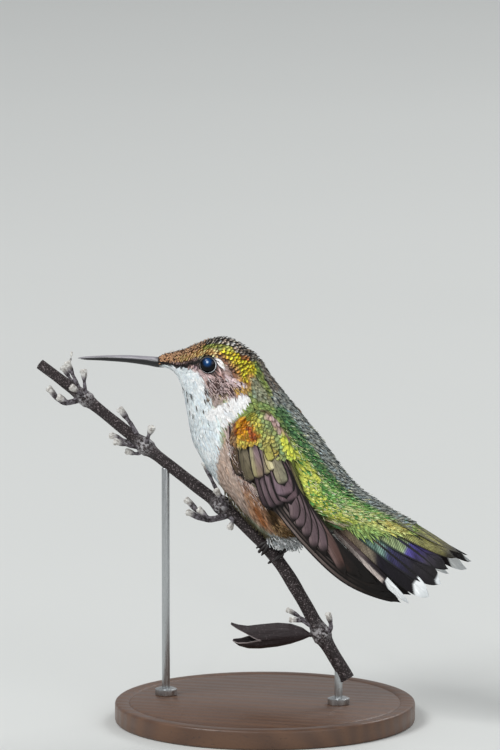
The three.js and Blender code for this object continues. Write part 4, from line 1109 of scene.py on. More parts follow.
def gap_at(place):
    """The gap between two rows of feathers, in millimetres."""
    gaps = [0.5, 0.52, 0.54, 0.58, 0.66, 0.7, 0.72, 0.76, 0.82, 0.9]
    return np.interp(place, [0, 1, 2.5, 4, 5, 6, 7, 8, 10, 13], gaps)


ROOT_JITTER = 0.22  # of the space between two feathers


def rows_of_roots(first, last, wide):
    """Roots in staggered rows, from place `first` to `last`; in a row they stand `wide` gaps apart."""
    found, place, row = [], first, 0
    while place < last:
        ring = body.read(body.grid, np.full(361, place), np.arange(361.0))
        run = np.concatenate([[0], np.cumsum(np.linalg.norm(np.diff(ring, axis=0), axis=1))])
        number = max(6, int(round(run[-1] / (gap_at(place) * wide))))
        spots = (np.arange(number) + 0.5 * (row % 2) + chance.uniform(-ROOT_JITTER, ROOT_JITTER, number)) / number
        turns = np.interp(np.mod(spots, 1) * run[-1], run, np.arange(361.0))
        pace = body.read(body.pace, np.full(number, place), turns)[:, 0]
        places = place + chance.uniform(-ROOT_JITTER, ROOT_JITTER, number) * gap_at(place) / pace
        found.append(np.stack([places, turns], -1))
        place += gap_at(place) / body.read(body.pace, place, 60.0)[0]
        row += 1
    return np.vstack(found)


def dress(name, roots, finish, slot, length_of, vary, flat_lie, slim=1.0, raised=0.0):
    """Feathers on the given roots, less those under the wings or in the eyes. `length_of` is in gaps
    between rows, `flat_lie` is the height of the roots in coat depths, and `raised` lifts the tips by millimetres."""
    soft = finish is soft_finish
    p, q = roots[:, 0], np.mod(roots[:, 1], 360)
    where = on_body(p, q, 0.3)
    out, off, _ = eye_frame(where)
    off = np.linalg.norm(off, axis=1)
    deep = behind_wing(where) & inside_outline(wing_outline, where[:, [0, 2]] + [1.2, -1.4])
    kept = ~(deep | ((off < LID_RADIUS + 0.12) & (out > 0)))
    p, q, off, out = p[kept], q[kept], off[kept], out[kept]
    count = len(p)
    from_back = np.minimum(q, 360 - q)
    belly = unit((from_back - 88) / 30) * unit((p - 0.5) / 1.5)
    ridge = unit(1 - from_back / 32) * unit(p - 5.5)
    near_eye = unit((off - LID_RADIUS) / 1.6) * (out > 0) + (out <= 0)
    hairy = unit(1 - abs(p - 5.1) / 1.6) * unit(1 - abs(from_back - 74) / 26) * soft
    gap, depth = gap_at(p), coat_depth(p)
    length = gap * length_of * (1 + 0.35 * belly + hairy) * chance.uniform(0.88, 1.15, count) * (0.55 + 0.45 * near_eye)
    width = gap * 1.45 * chance.uniform(0.9, 1.12, count) * slim * (1 - 0.15 * belly - 0.25 * hairy)
    width = width * (0.7 + 0.3 * near_eye)
    lift = depth * chance.uniform(*((0.78, 0.9) if soft else (0.7, 0.95)), count) * (1 - 0.3 * ridge)
    lift = lift + raised * chance.uniform(0.4, 1, count)
    base = depth * flat_lie + chance.uniform(-0.03, 0.03, count)
    point = unit(0.1 + 0.35 * belly + hairy + chance.uniform(-0.1, 0.2, count))
    fray = chance.uniform(0.0, 0.05, count)
    cup = chance.uniform(0.08, 0.2, count) * (0.4 if soft else 1)
    lean = chance.normal(0, 8 + 4 * belly + 8 * hairy + 10 * (1 - slim), count)
    shape = length, width, lean, base, lift, point, fray, cup
    grown = grow_vanes(body, p, q, *shape, on_body, 4, 4 if slim == 1.0 else 2, 0.05 if soft else 0.04)
    flat = tucked(grown[0].reshape(-1, 3))
    eye_out, eye_off, eye_flip = eye_frame(flat)
    eye_gap = np.linalg.norm(eye_off, axis=1)
    crowds = (eye_gap < LID_RADIUS + 0.1) & (eye_out > 0)
    pushed = eye_off * ((LID_RADIUS + 0.1) / np.maximum(eye_gap, 1e-6))[:, None]
    flat = np.where(crowds[:, None], (EYE_CENTRE + eye_out[:, None] * EYE_FACING + pushed) * eye_flip, flat)
    body_vanes(name, (flat.reshape(grown[0].shape), *grown[1:]), body_markings, finish, slot, vary + 0.34 * hairy)


def soft_side(roots, places, turns):
    """Which roots lie further round from the back than a line over the body: the side of the soft feathers."""
    return 180 - abs(np.mod(roots[:, 1], 360) - 180) > np.interp(roots[:, 0], places, turns)


FACE_LINE = [0, 1.5, 2.6, 3.6, 4.4, 5.0, 5.5, 6.0], [100, 104, 100, 86, 66, 50, 52, 54]
FLANK_LINE = [6, 6.6, 7.2, 8, 13], [54, 56, 64, 92, 98]
roots = rows_of_roots(0.0, 6.0, 1.05)
dress("plumage_crown", roots[~soft_side(roots, *FACE_LINE)], scale_finish, "head_plumage", 2.5, 0.18, 0.1, raised=0.12)
roots = rows_of_roots(0.0, 6.0, 0.6)
dress("plumage_throat", roots[soft_side(roots, *FACE_LINE)], soft_finish, "head_plumage", 3.4, 0.06, 0.5, 0.65)
roots = rows_of_roots(6.0, 12.85, 0.56)
is_soft, is_far = soft_side(roots, *FLANK_LINE), roots[:, 0] > 8.6
dress("plumage_back", roots[~is_soft], back_finish, "body_plumage", 3.2, 0.2, 0.35, 0.6, 0.1)
dress("plumage_breast", roots[is_soft & ~is_far], soft_finish, "neck_plumage", 3.8, 0.06, 0.5, 0.6)
dress("plumage_belly", roots[is_soft & is_far], soft_finish, "body_plumage", 4.2, 0.12, 0.45, 0.55, 0.1)

# Loose hair-like barbs on the cheek, forehead, back, flank, belly and thigh, and a white tuft at the vent: a path of
# (place, turn), how many, how far they spread round the body in degrees, how long and wide they are, how high their
# tips stand, how far they sway in degrees, and the colours of their middles and edges.
HAIRS = [
    ("plumage_flank_hairs", [(7.1, 90), (7.5, 98), (8.0, 107), (8.6, 113), (9.3, 117)], 240, 7, (2.2, 3.6), 0.17, 0.25,
     12, "#f0ddd5 #b9988c"),
    ("plumage_flank_shades", [(7.2, 90), (7.7, 99), (8.3, 108), (9.2, 115)], 110, 5, (1.8, 3.0), 0.2, 0.15, 12,
     "#5b3f42 #2c1b1e"),
    ("plumage_vent_tuft", [(10.1, 170), (10.4, 164), (10.7, 158), (10.95, 154)], 170, 12, (2.0, 3.2), 0.16, 2.4, 34,
     "#f6fbfc #dbe4e8"),
    ("plumage_cheek_darks", [(5.1, 78), (5.5, 76), (5.8, 74), (6.3, 64)], 170, 12, (0.8, 1.5), 0.18, 0.1, 14,
     "#46312d #261715"),
    ("plumage_cheek_lights", [(5.1, 80), (5.5, 77), (5.8, 75), (6.3, 64)], 150, 14, (0.9, 1.6), 0.11, 0.16, 14,
     "#e2ccca #ab9290"),
    ("plumage_forehead_tips", [(0.2, 54), (1.0, 52), (2.0, 48), (3.0, 40), (3.7, 28)], 250, 32, (0.3, 0.45), 0.2, 0.12,
     10, "#dcae86 #6d4228"),
    ("plumage_back_greens", [(8.9, 54), (9.6, 58), (10.4, 60), (11.4, 62), (12.4, 66)], 260, 30, (1.2, 2.2), 0.4, 0.1,
     12, "#5f9c4c #2f5c30"),
    # Pale yellow hairs along the back's painted sheen: painted highlight flecks.
    ("plumage_back_sheen_glints", [(8.6, 46), (9.4, 52), (10.2, 56), (11.2, 62), (12.4, 66)], 520, 34, (0.9, 1.8), 0.13, 0.2,
     14, "#f3f5c4 #b9c07c"),
    ("plumage_belly_edge", [(8.5, 172), (9.1, 170), (9.8, 170), (10.1, 166)], 220, 14, (1.6, 2.8), 0.2, 0.7, 20,
     "#8b8466 #3f3a2a"),
    ("plumage_thigh_fluff", [(9.9, 126), (10.3, 134), (10.6, 142)], 160, 8, (1.8, 2.8), 0.22, 0.8, 24,
     "#a88a62 #6b5236"),
]
for hair_name, path, number, spread, lengths, width, rise, sway, tones in HAIRS:
    along = chance.uniform(0, len(path) - 1, number)
    hair_p, hair_q = [np.interp(along, np.arange(len(path)), values) for values in zip(*path)]
    hair_q = hair_q + chance.normal(0, spread / 2, number)
    hair_p = hair_p + chance.normal(0, 0.12, number)
    hair_at = on_body(hair_p, hair_q, 0.3)
    clear = np.linalg.norm(eye_frame(hair_at)[1], axis=1) > LID_RADIUS + 1.2
    clear &= ~(inside_outline(wing_outline, hair_at[:, [0, 2]] + [0.7, -0.8]) & (hair_q < 80))
    hair_p, hair_q = np.tile(hair_p[clear], 2), np.concatenate([hair_q[clear], 360 - hair_q[clear]])
    many = len(hair_p)
    hair_shape = (
        chance.uniform(*lengths, many),
        width,
        chance.normal(0, sway, many),
        chance.uniform(0.2, 0.6, many),
        coat_depth(hair_p) * 0.95 + chance.uniform(0.1, 1.0, many) * rise,
    )
    hairs = grow_vanes(body, hair_p, hair_q, *hair_shape, 0.9, 0.0, 0.1, on_body, 5, 2)
    body_vanes(hair_name, hairs, one_colour(tones), soft_finish, "body_plumage", 0.12)

# Dark flecks on the throat, each one narrow feather at a (place, turn).
FLECKS = [(4.18, 127), (4.79, 117), (4.58, 133), (5.18, 138), (5.4, 130), (5.37, 116), (5.68, 107), (5.5, 98),
          (3.6, 138)]
FLECKS += [(p, 360 - q) for p, q in FLECKS]
fleck_p, fleck_q = np.array(FLECKS, float).T
flecks = grow_vanes(body, fleck_p, fleck_q, 1.25, 0.42, 0.0, 0.35, 0.72, 0.6, 0.0, 0.1, on_body, 4, 4, 0.04)
body_vanes("plumage_throat_flecks", flecks, one_colour("#5d5a56 #413e3b"), soft_finish, "head_plumage", 0.08)

# ---------------- folded wings
# Each wing lies closed along the flank: a bed of muscle and skin, rows of small glossy coverts from the wrist down,
# the greater coverts, six secondaries and eleven primaries, of which each lies over the next longer one, and the
# edges of four more feathers.
def on_wing(p, q, height=0.0):
    """Points on the wing, at a place from the wrist (0) to the tip (9) and a share across it from the flank (0)."""
    points = wing.read(wing.grid, p, unit(q))
    points = points + np.stack([0 * p, 0 * p + height, 0 * p], -1)
    beyond = np.where(q < 0, q, np.where(q > 1, q - 1, 0))
    return points + (wing.read(wing.grid, p, 1.0 + 0 * q) - wing.read(wing.grid, p, 0 * q)) * beyond[..., None]


wing = Form(wing_grid, (9, 1), (0, 1, 0))


def vane_sheet(rows, cols, place, thick):
    """One large feather as a closed vane. `place(s, c)` gives its upper points and the way up at each."""
    s, c = np.meshgrid(np.linspace(0, 1, rows + 1), np.linspace(-1, 1, cols + 1), indexing="ij")
    top, up = place(s, c)
    faces, inner, rim = vane_faces(rows, cols)
    points, under, vane = top.reshape(-1, 3), (top - up * thick).reshape(-1, 3), np.stack([(c + 1) / 2, s], -1)
    vane = vane.reshape(-1, 2)
    return np.vstack([points, under[inner]]), faces, np.vstack([vane, vane[inner]]), rim


def vane_half(s, root, full, tip, blunt):
    """Half of a quill feather's width along it: narrow at the root, full, then closing towards its tip."""
    body_part = np.interp(s, [0, 0.12, 0.35, 0.6], [root, 0.6 + 0.4 * root, 0.95, 1.0])
    close = unit((s - full) / (1 - full))
    return body_part * ((1 - close**blunt) ** (1 / blunt) * (1 - tip) + tip)


def graded(share, stops):
    """Colours at shares of the way, between stops that say which colour stands at which share."""
    values = np.array([rgb(code) for code in stops.values()])
    return np.stack([np.interp(share, list(stops), values[:, k]) for k in range(3)], -1)


def quill_piece(name, quills, finish, slot, side, grid):
    """Large feathers joined into one piece. Each is (points, faces, vane, rim, tint, hem, gleam, hatch)."""
    bases = np.cumsum([0] + [len(q[0]) for q in quills[:-1]])
    faces = np.vstack([q[1] + b for q, b in zip(quills, bases)])
    cells = [(q[2] * 0.94 + 0.03 + np.array([n % grid, n // grid])) / grid for n, q in enumerate(quills)]
    points, vane, rim, tint, hem, gleam, hatch = [np.concatenate([q[k] for q in quills]) for k in (0, 2, 3, 4, 5, 6, 7)]
    points = points * np.array([1, side, 1])
    faces = faces[:, ::-1] if side > 0 else faces
    return feather_piece(name, points, faces, np.vstack(cells), vane, rim, tint, gleam, hem, hatch, finish, slot)


def quill_finish(name, barbs, slant, edge_width, barb_share, rough, streak, shaft_share=0.8, root_reach=0.5):
    """Wing and tail feathers: dark-edged vanes with a fine shaft, barbs and an even wear along the length."""
    made = Finish(name, Specular_IOR_Level=0.25)
    tint, hem = made.attribute("tint"), made.attribute("hem")
    own = dict(Shaft_Place=0.42, Shaft_Width=0.035, Edge_Width=edge_width, Root_Reach=root_reach)
    vane = vane_nodes(made, 0.0, Barbs=barbs, Slant=slant, **own)
    patch = made.noise(made.place(), 0.9, 4, 0.6)
    barb = made.times(vane["Barb"], made.sums("MULTIPLY_ADD", hem["Alpha"], 0.95, barb_share))
    tone = made.mixed(barb, tint["Color"], hem["Color"])
    tone = made.mixed(made.ramp(vane["Streak"], 0.5, 0.3, 0.0, streak), tone, hem["Color"])
    tone = made.scaled(tone, made.ramp(vane["Streak"], 0.5, 0.7, 1.0, 1.0 + streak * 0.7))
    tone = made.mixed(made.ramp(patch, 0.5, 0.75, 0.0, 0.3), tone, hem["Color"])
    # Root darkens the covered root of each quill towards its edge colour: painted shade.
    for part, share in (("Edge", 1.0), ("Shaft", shaft_share), ("Root", 0.5)):
        tone = made.mixed(made.times(vane[part], share), tone, hem["Color"])
    made.feed(
        Base_Color=tone,
        Metallic=made.times(tint["Alpha"], made.ramp(vane["Edge"], 0.2, 1.0, 1.0, 0.2)),
        Roughness=made.ramp(patch, 0.2, 0.8, rough - 0.08, rough + 0.1),
        Normal=made.bumped(made.sums("MULTIPLY_ADD", vane["Shaft"], 2.5, vane["Barb"]), 0.02, 0.7),
    )
    return made


# Wing colours in the side plane, as (x, z) paths, with reach, softness, middles, edges and gleam.
WING_MARKS = [
    ("green", [(2.5, 63.2), (4.4, 61), (5.2, 58.4), (4.6, 54)], 5.6, 0.4, "#93a366 #465136", 0.25),
    ("olive", [(2.6, 58.6), (4.0, 56.2), (4.8, 53.6)], 2.0, 0.6, "#b4ac5c #5f5c30", 0.3),
    ("green gold", [(-1.4, 63.6), (0.4, 62.0), (1.3, 59.8)], 1.5, 0.6, "#b9b64e #5f5f26", 0.35),
    ("pink", [(3.2, 62.6), (5.6, 60.2), (7.0, 57.8)], 0.9, 0.6, "#c7a9a2 #7f635c", 0.1),
    ("yellow", [(6.6, 58.4), (8.2, 55.0), (9.4, 51.0)], 1.6, 0.5, "#dfe85a #7d8c38", 0.3),
    ("brown edge", [(-5.2, 61.4), (-4.8, 58.6), (-4.0, 56.2), (-3.4, 54.6)], 1.9, 0.5, "#a2805c #4a3425", 0.15),
    ("orange", [(-3.2, 62.2), (-2.4, 60.6), (-1.2, 59.2), (0.6, 58.6)], (1.7, 2.2, 2.4, 1.4), 0.4,
     "#f0a424 #76400f", 0.45),
    ("gold row", [(-2.8, 57.6), (-0.8, 57.0), (0.8, 57.6)], 1.1, 0.6, "#e8ca54 #866a28", 0.35),
    ("rust a", [(-3.6, 60.0), (-3.4, 58.8)], 0.7, 0.6, "#a85a2c #552b16", 0.25),
    ("rust b", [(-0.9, 60.6), (-0.2, 59.2), (0.4, 58.4)], 0.7, 0.5, "#b0581c #5a2a0f", 0.3),
    ("violet a", [(-4.0, 62.6), (-3.0, 62.9)], 0.6, 0.6, "#543848 #2a1a24", 0.2),
    ("shoulder fold", [(-3.8, 63.4), (-2.2, 64.2), (0.8, 64.6), (3.9, 62.9), (6.3, 60.9)], 0.55, 0.5,
     "#6e6238 #332a16", 0.1),
    ("violet b", [(-4.7, 60.4), (-4.3, 60.2)], 0.5, 0.6, "#543848 #2a1a24", 0.2),
]
wing_markings = []
for _, path, *rest in WING_MARKS:
    path = np.array([(x, 0.0, z) for x, z in path])
    path[:, 1] = nearest_wing_y(wing_grid, path[:, [0, 2]])
    wing_markings.append((path, *rest))

COVERT_GAP = 0.72
covert_roots, covert_row, covert_place = [], 0, -0.3
while covert_place < 2.4:
    level = np.array([max(covert_place, 0.0)])
    across = np.linalg.norm(on_wing(level, np.ones(1)) - on_wing(level, np.zeros(1)))
    number = max(4, int(round(across / COVERT_GAP)))
    spots = (np.arange(-1, number + 1) + 0.5 * (covert_row % 2) + chance.uniform(-0.15, 0.15, number + 2)) / number
    covert_roots.append(np.stack([covert_place + chance.uniform(-0.03, 0.03, number + 2), spots], -1))
    covert_place += 0.125
    covert_row += 1
covert_roots = np.vstack(covert_roots)
covert_tips = on_wing(np.clip(covert_roots[:, 0] + 0.42, 0, 9), covert_roots[:, 1])
COVERT_EDGE = [-4.2, -2.5, -0.4, 1.3, 2.1, 3.8, 5.8, 7.2], [57.4, 55.9, 56.5, 56.8, 56.2, 55.0, 54.1, 54.0]
covert_roots = covert_roots[covert_tips[:, 2] > np.interp(covert_tips[:, 0], *COVERT_EDGE)]
n_coverts = len(covert_roots)
covert_grade = unit(covert_roots[:, 0] / 2.0)


def on_wing_rounded(p, q, height):
    """The wing's face, which rounds over at both of its long edges."""
    low = unit(-q / 0.2) + unit((q - 1) / 0.2)
    return on_wing(np.clip(p, 0, 9), q, height - 0.9 * low**1.5)


covert_grown = grow_vanes(
    wing,
    np.clip(covert_roots[:, 0], 0, 9),
    np.clip(covert_roots[:, 1], -0.12, 1.12),
    np.interp(covert_grade, [0, 1], [1.8, 2.3]) * chance.uniform(0.9, 1.1, n_coverts),
    np.interp(covert_grade, [0, 1], [1.0, 1.35]) * chance.uniform(0.9, 1.1, n_coverts),
    chance.normal(-4, 6, n_coverts),
    -0.4 + chance.uniform(-0.03, 0.03, n_coverts),
    0.12 + chance.uniform(-0.08, 0.06, n_coverts),
    chance.uniform(0.0, 0.15, n_coverts),
    chance.uniform(0.0, 0.03, n_coverts),
    chance.uniform(0.08, 0.16, n_coverts),
    on_wing_rounded,
    6,
    6,
    thick=0.06,
)
covert_finish = plume_finish("covert_feathers", 14.0, 6.0, (0.4, 0.7), 0.2, 0.5, 0.02, streak=0.5)

# The larger feathers, from the lowest in each group to the one on top: the path of the middle in the side plane, the
# width, the height at the root and at the tip, the colours of the webs towards the belly and towards the back, near
# the root and then near the tip, and the colour of the edges.
GREATER_COVERTS = [
    ([(-4.3, 57.6), (-3.6, 54.0), (-2.3, 50.6)], 2.4, -0.35, -0.12, "#7a6448 #65533f #4b3e33 #3f342c", "#17100e"),
    ([(4.0, 56.6), (5.2, 53.6), (5.8, 51.0)], 1.3, -0.38, -0.2, "#4a3d48 #40343c #352b31 #2e252a", "#120d0c"),
    ([(-2.2, 57.4), (-1.3, 53.2), (-0.4, 49.4)], 3.0, -0.3, -0.06, "#6d6450 #7f7560 #5d5542 #6c634b", "#17110f"),
    ([(1.9, 57.8), (2.6, 54.4), (3.2, 51.2)], 2.0, -0.28, -0.02, "#86727a #a89c7c #8b7b70 #a59a76", "#1b1413"),
    ([(0.0, 57.8), (0.9, 54.0), (1.6, 50.3)], 2.7, -0.22, 0.04, "#b3aa86 #8f787d #a49a72 #8a7866", "#1b1413"),
    ([(2.7, 57.0), (3.5, 54.4), (4.4, 52.2)], 1.8, -0.2, 0.04, "#d2c494 #e6d9a6 #c9bd8e #e8dfb4", "#2b2018"),
    ([(2.6, 58.4), (3.4, 56.2), (4.2, 54.2)], 1.9, -0.1, 0.12, "#a9a252 #b3ac58 #c2bb66 #b9b25c", "#413c20"),
]
SECONDARIES = [
    ([(0.6, 54.0), (1.8, 48.9), (3.2, 44.2)], 2.5, -0.58, -0.36, "#6a585d #4f4145 #43353a #33292c", "#0f0a0a"),
    ([(1.6, 54.0), (2.9, 48.9), (4.6, 44.2)], 2.6, -0.5, -0.27, "#88747a #5c4c51 #66545a #40343a", "#0f0a0a"),
    ([(2.9, 54.0), (4.4, 48.9), (6.2, 44.9)], 3.0, -0.42, -0.18, "#8f7a81 #665459 #6c595e #4a3c41", "#0f0a0a"),
    ([(4.7, 54.4), (6.6, 49.4), (7.9, 45.6)], 4.8, -0.34, -0.02, "#7b676d #6c585e #746066 #6a565c", "#0f0a0a"),
    ([(4.5, 55.4), (6.1, 50.6), (7.0, 46.8)], 4.4, -0.24, 0.08, "#88737a #71595f #84707a #77626a", "#0f0a0a"),
    ([(4.0, 56.4), (5.6, 52.4), (6.7, 49.4)], 2.8, -0.16, 0.17, "#a39a80 #8f8872 #a29a80 #8e8a74", "#100b0a"),
]


def bent_quill(path, width, low, high, webs, edge, gleam=0.12, rows=18, cols=8, full=0.55, blunt=2.2, shaded=0.0):
    """One large wing feather. `full` and `blunt` shape its end, and `shaded` paints a shadow over its root, which lies
    covered.
    """
    line = np.array([(x, 0.0, z) for x, z in path])
    centre = flowing(line, np.linspace(0, 1, rows + 1))
    ahead = np.gradient(centre, axis=0)
    ahead /= np.linalg.norm(ahead, axis=1)[:, None]
    aside = np.stack([-ahead[:, 2], 0 * ahead[:, 0], ahead[:, 0]], -1)

    def place(s, c):
        half = vane_half(s, 0.35, full, 0.12, blunt) * width / 2
        round_off = -0.25 * width * c**2 * unit((s - 0.75) / 0.25) ** 2
        points = centre[:, None] + aside[:, None] * (half * c)[..., None] + ahead[:, None] * round_off[..., None]
        y = nearest_wing_y(wing_grid, points.reshape(-1, 3)[:, [0, 2]]).reshape(s.shape)
        rise = low + (high - low) * s**0.8
        points[..., 1] = y + rise - 0.03 * c**2 * width / 2 * (0.5 + s)
        return points, np.broadcast_to(np.array([0.0, 1.0, 0.0]), points.shape)

    points, faces, vane, rim = vane_sheet(rows, cols, place, 0.09)
    c, s = vane[:, 0:1], vane[:, 1:2]
    low_root, high_root, low_tip, high_tip = [rgb(code) for code in webs.split()]
    over = unit((c - 0.3) / 0.24)
    near, far = low_root + (high_root - low_root) * over, low_tip + (high_tip - low_tip) * over
    fade = unit((s - 0.3) / 0.5)
    tint = (near + (far - near) * fade) * chance.uniform(0.94, 1.06)
    # Painted shadow: the root darkens where it lies under the secondaries.
    tint = tint * (1 - shaded + shaded * unit((s - 0.14) / 0.08))
    hem = np.tile(rgb(edge), (len(points), 1))
    return points, faces, vane, rim, tint, hem, np.full(len(points), gleam), np.zeros(len(points))


PALE_WEBS = "#8f807b #70625e #1d1714 #0f0b0a"
DARK_WEBS = "#5f524e #292120 #120e0c #0b0807"
LILAC_WEBS = "#8d7b80 #746266 #7f6c6f #66555a"
PRIMARIES = [
    ([(2.4, 49.0), (8.7, 40.7), (18.2, 31.3), (28.9, 26.1)], 3.4, -0.94, -0.66, PALE_WEBS, "#0f0b0a"),
    ([(3.0, 49.6), (9.4, 41.3), (18.9, 32.1), (28.4, 26.8)], 3.7, -0.86, -0.58, DARK_WEBS, "#0d0a09"),
    ([(3.6, 50.1), (10.0, 41.8), (19.4, 32.8), (27.0, 28.0)], 3.8, -0.78, -0.5, PALE_WEBS, "#0f0b0a"),
    ([(4.2, 50.6), (10.6, 42.3), (19.0, 33.6), (24.6, 29.6)], 3.8, -0.71, -0.42, DARK_WEBS, "#0f0b0a"),
    ([(4.8, 51.0), (10.9, 42.8), (17.2, 35.0), (21.2, 30.9)], 3.2, -0.64, -0.35,
     "#857571 #4f403b #3a2923 #1c1412", "#120d0b"),
    ([(5.8, 51.4), (11.4, 43.4), (15.6, 37.0), (18.3, 31.0)], 2.8, -0.58, -0.27,
     "#8a7674 #7a6462 #7c6460 #5a413b", "#17110f"),
    ([(7.2, 50.6), (10.6, 44.6), (13.2, 39.8), (14.4, 35.0)], 2.6, -0.52, -0.21, LILAC_WEBS, "#17110f"),
    ([(7.0, 50.8), (9.9, 45.4), (11.7, 41.0), (12.2, 35.8)], 2.6, -0.46, -0.14, LILAC_WEBS, "#17110f"),
    ([(6.8, 51.0), (9.2, 46.6), (10.5, 42.6), (10.8, 38.2)], 2.6, -0.4, -0.07, LILAC_WEBS, "#17110f"),
    ([(6.6, 51.4), (8.6, 47.2), (9.5, 43.8), (9.4, 40.2)], 2.5, -0.34, 0.0, LILAC_WEBS, "#17110f"),
    ([(6.2, 51.4), (7.8, 47.5), (8.5, 44.6), (8.1, 41.9)], 2.4, -0.28, 0.07, LILAC_WEBS, "#17110f"),
]
EDGE_FEATHERS = [
    ([(6.4, 55.0), (8.4, 49.6), (10.0, 45.4), (12.4, 40.3), (15.2, 36.0)], 1.1, -0.62, -0.35,
     "#a3878a #d3bab6 #94797a #c9b0ab", "#3a2a29"),
    ([(6.9, 55.2), (8.8, 50.2), (10.7, 45.4), (13.2, 40.6), (16.2, 36.4)], 1.0, -0.85, -0.6,
     "#7d6a5c #8d8a55 #5a4940 #6d6a48", "#2a211c"),
    ([(-5.0, 61.2), (-4.9, 57.2), (-3.6, 52.8), (-1.6, 49.6)], 0.6, -0.3, -0.45,
     "#4b3340 #3a2630 #35232c #2c1d24", "#120c0e"),
    ([(-5.3, 60.8), (-5.25, 57.6), (-4.4, 54.2)], 0.55, -0.25, -0.4, "#d8c3be #cdb6b1 #b79f9a #a88f8a", "#6b514c"),
]
wing_finish = quill_finish("wing_vanes", 12.0, 15.0, 0.3, 0.1, 0.55, 0.55, shaft_share=0.3, root_reach=0.3)
# The six longest primaries take painted shadow at their roots, below the secondaries.
wing_quills = [bent_quill(*row, rows=34, full=0.6, blunt=2.0, gleam=0.1, shaded=0.75) for row in PRIMARIES[:6]]
wing_quills += [bent_quill(*row, rows=22, full=0.72, blunt=1.6) for row in PRIMARIES[6:]]
wing_quills += [bent_quill(*row, rows=24, cols=6, full=0.6, gleam=0.1) for row in EDGE_FEATHERS]
wing_quills += [bent_quill(*row, full=0.66, blunt=2.3) for row in SECONDARIES + GREATER_COVERTS]

bed_rows = []
for n in range(0, 116, 5):
    outer = wing_grid[n, 4:37:4] - np.array([0, 1.0, 0])
    inner = wing_inner[n, 36:3:-4] + np.array([0, 0.05, 0])
    inner[:, 1] = np.minimum(inner[:, 1], outer[::-1, 1] - 0.08)
    bed_rows.append(np.vstack([outer, inner]))
bed_points, bed_faces = closed_loft(bed_rows)
bed_finish = two_tone("wing_bed_skin", "#1c1514", "#3a2e2c", (1.6, 4), (0.8, 0.8), 0.08, (1, 1, 0.4))
for wing_name, side in (("left", -1), ("right", 1)):
    quills = quill_piece("wing_quills_" + wing_name, wing_quills, wing_finish, "wing_feathers", side, 7)
    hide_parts("wing_" + wing_name)
    bed = piece("wing_bed_" + wing_name, bed_points * np.array([1, side, 1]), bed_faces, bed_finish)
    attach(bed, "root")
    points, faces, *maps = covert_grown
    coverts = points * np.array([1, side, 1]), faces if side < 0 else faces[:, ::-1], *maps
    body_vanes("wing_coverts_" + wing_name, coverts, wing_markings, covert_finish, "wing_feathers")

# ---------------- tail
# Ten stiff feathers, five a side, in a low arch. The middle pair is green and lies on top; the outer ones have a
# violet band, a dark end and, on the three outermost, a white tip.
TAIL_ROOT = np.array([17.3, 0, 46.6])
TAIL_PITCH, TAIL_SWING, TAIL_ROLL, TAIL_FOLD = np.radians([24.5, 9, 11.5, 20.5])
TAIL_ARCHES = (4.4, 8.6)
TAIL_LENGTHS = (25.8, 26.2, 26.8, 26.2, 23.2)
TAIL_WIDTHS = (5.4, 5.6, 5.2, 4.2, 2.3)
TAIL_LEANS = (0.42, 0.36, 0.3, 0.26, 0.3)
TAIL_ENDS = ((0.5, 1.6), (0.52, 1.6), (0.64, 1.9), (0.7, 2.0), (0.55, 2.0))  # where the vane narrows, and how bluntly
# Along each feather, from the middle pair out: the colours of the vane and of its edge at shares of the length, then
# how much the vane gleams and how strongly its barbs are hatched.
TAIL_COLOURS = [
    ({0: "#93a558", 0.5: "#a9b366", 0.75: "#b3b06a", 0.9: "#85804f", 0.95: "#3a352c", 1: "#2c2824"},
     {0: "#39401f", 0.8: "#3b3620", 1: "#15120f"}, (0.2, 0.9)),
    ({0: "#98a468", 0.3: "#a5b078", 0.61: "#9fb384", 0.64: "#5a50a4", 0.72: "#3b3366", 0.82: "#38333e", 0.9: "#232024",
      1: "#19161a"},
     {0: "#2c3420", 0.5: "#2c3a2c", 0.65: "#16131f", 1: "#0b090a"}, (0.2, 0.85)),
    ({0: "#7e9a8e", 0.25: "#86ab9b", 0.44: "#84a697", 0.5: "#3a3768", 0.64: "#1f1c38", 0.74: "#151018",
      0.94: "#110d0f", 0.95: "#eef2f3", 1: "#f0f3f4"},
     {0: "#1f2b27", 0.45: "#1d2e2a", 0.55: "#0f0d18", 0.94: "#0b090a", 0.95: "#dde2e4", 1: "#d5dadc"}, (0.2, 0.9)),
    ({0: "#b09c84", 0.2: "#c6b192", 0.38: "#bcb098", 0.46: "#1b1728", 0.6: "#151219", 0.83: "#100c12", 0.84: "#eef2f3",
      1: "#f0f3f4"},
     {0: "#3a2d24", 0.4: "#373029", 0.5: "#0e0c12", 0.83: "#0b090a", 0.84: "#dde2e4", 1: "#d5dadc"}, (0.12, 0.95)),
    ({0: "#8a7068", 0.2: "#9a837a", 0.36: "#7e6e6d", 0.5: "#332c33", 0.7: "#1f1a20", 0.71: "#eef2f3", 1: "#f0f3f4"},
     {0: "#3b2b27", 0.4: "#231b1d", 0.7: "#0e0b0d", 0.71: "#dde2e4", 1: "#d5dadc"}, (0.1, 0.5)),
]
tail_along = np.array(
    [math.cos(TAIL_PITCH) * math.cos(TAIL_SWING), -math.cos(TAIL_PITCH) * math.sin(TAIL_SWING), -math.sin(TAIL_PITCH)]
)
tail_right = np.array([math.sin(TAIL_SWING), math.cos(TAIL_SWING), 0.0])
tail_right = np.array(Matrix.Rotation(TAIL_ROLL, 3, tail_along.tolist())) @ tail_right
tail_up = np.cross(tail_along, tail_right)


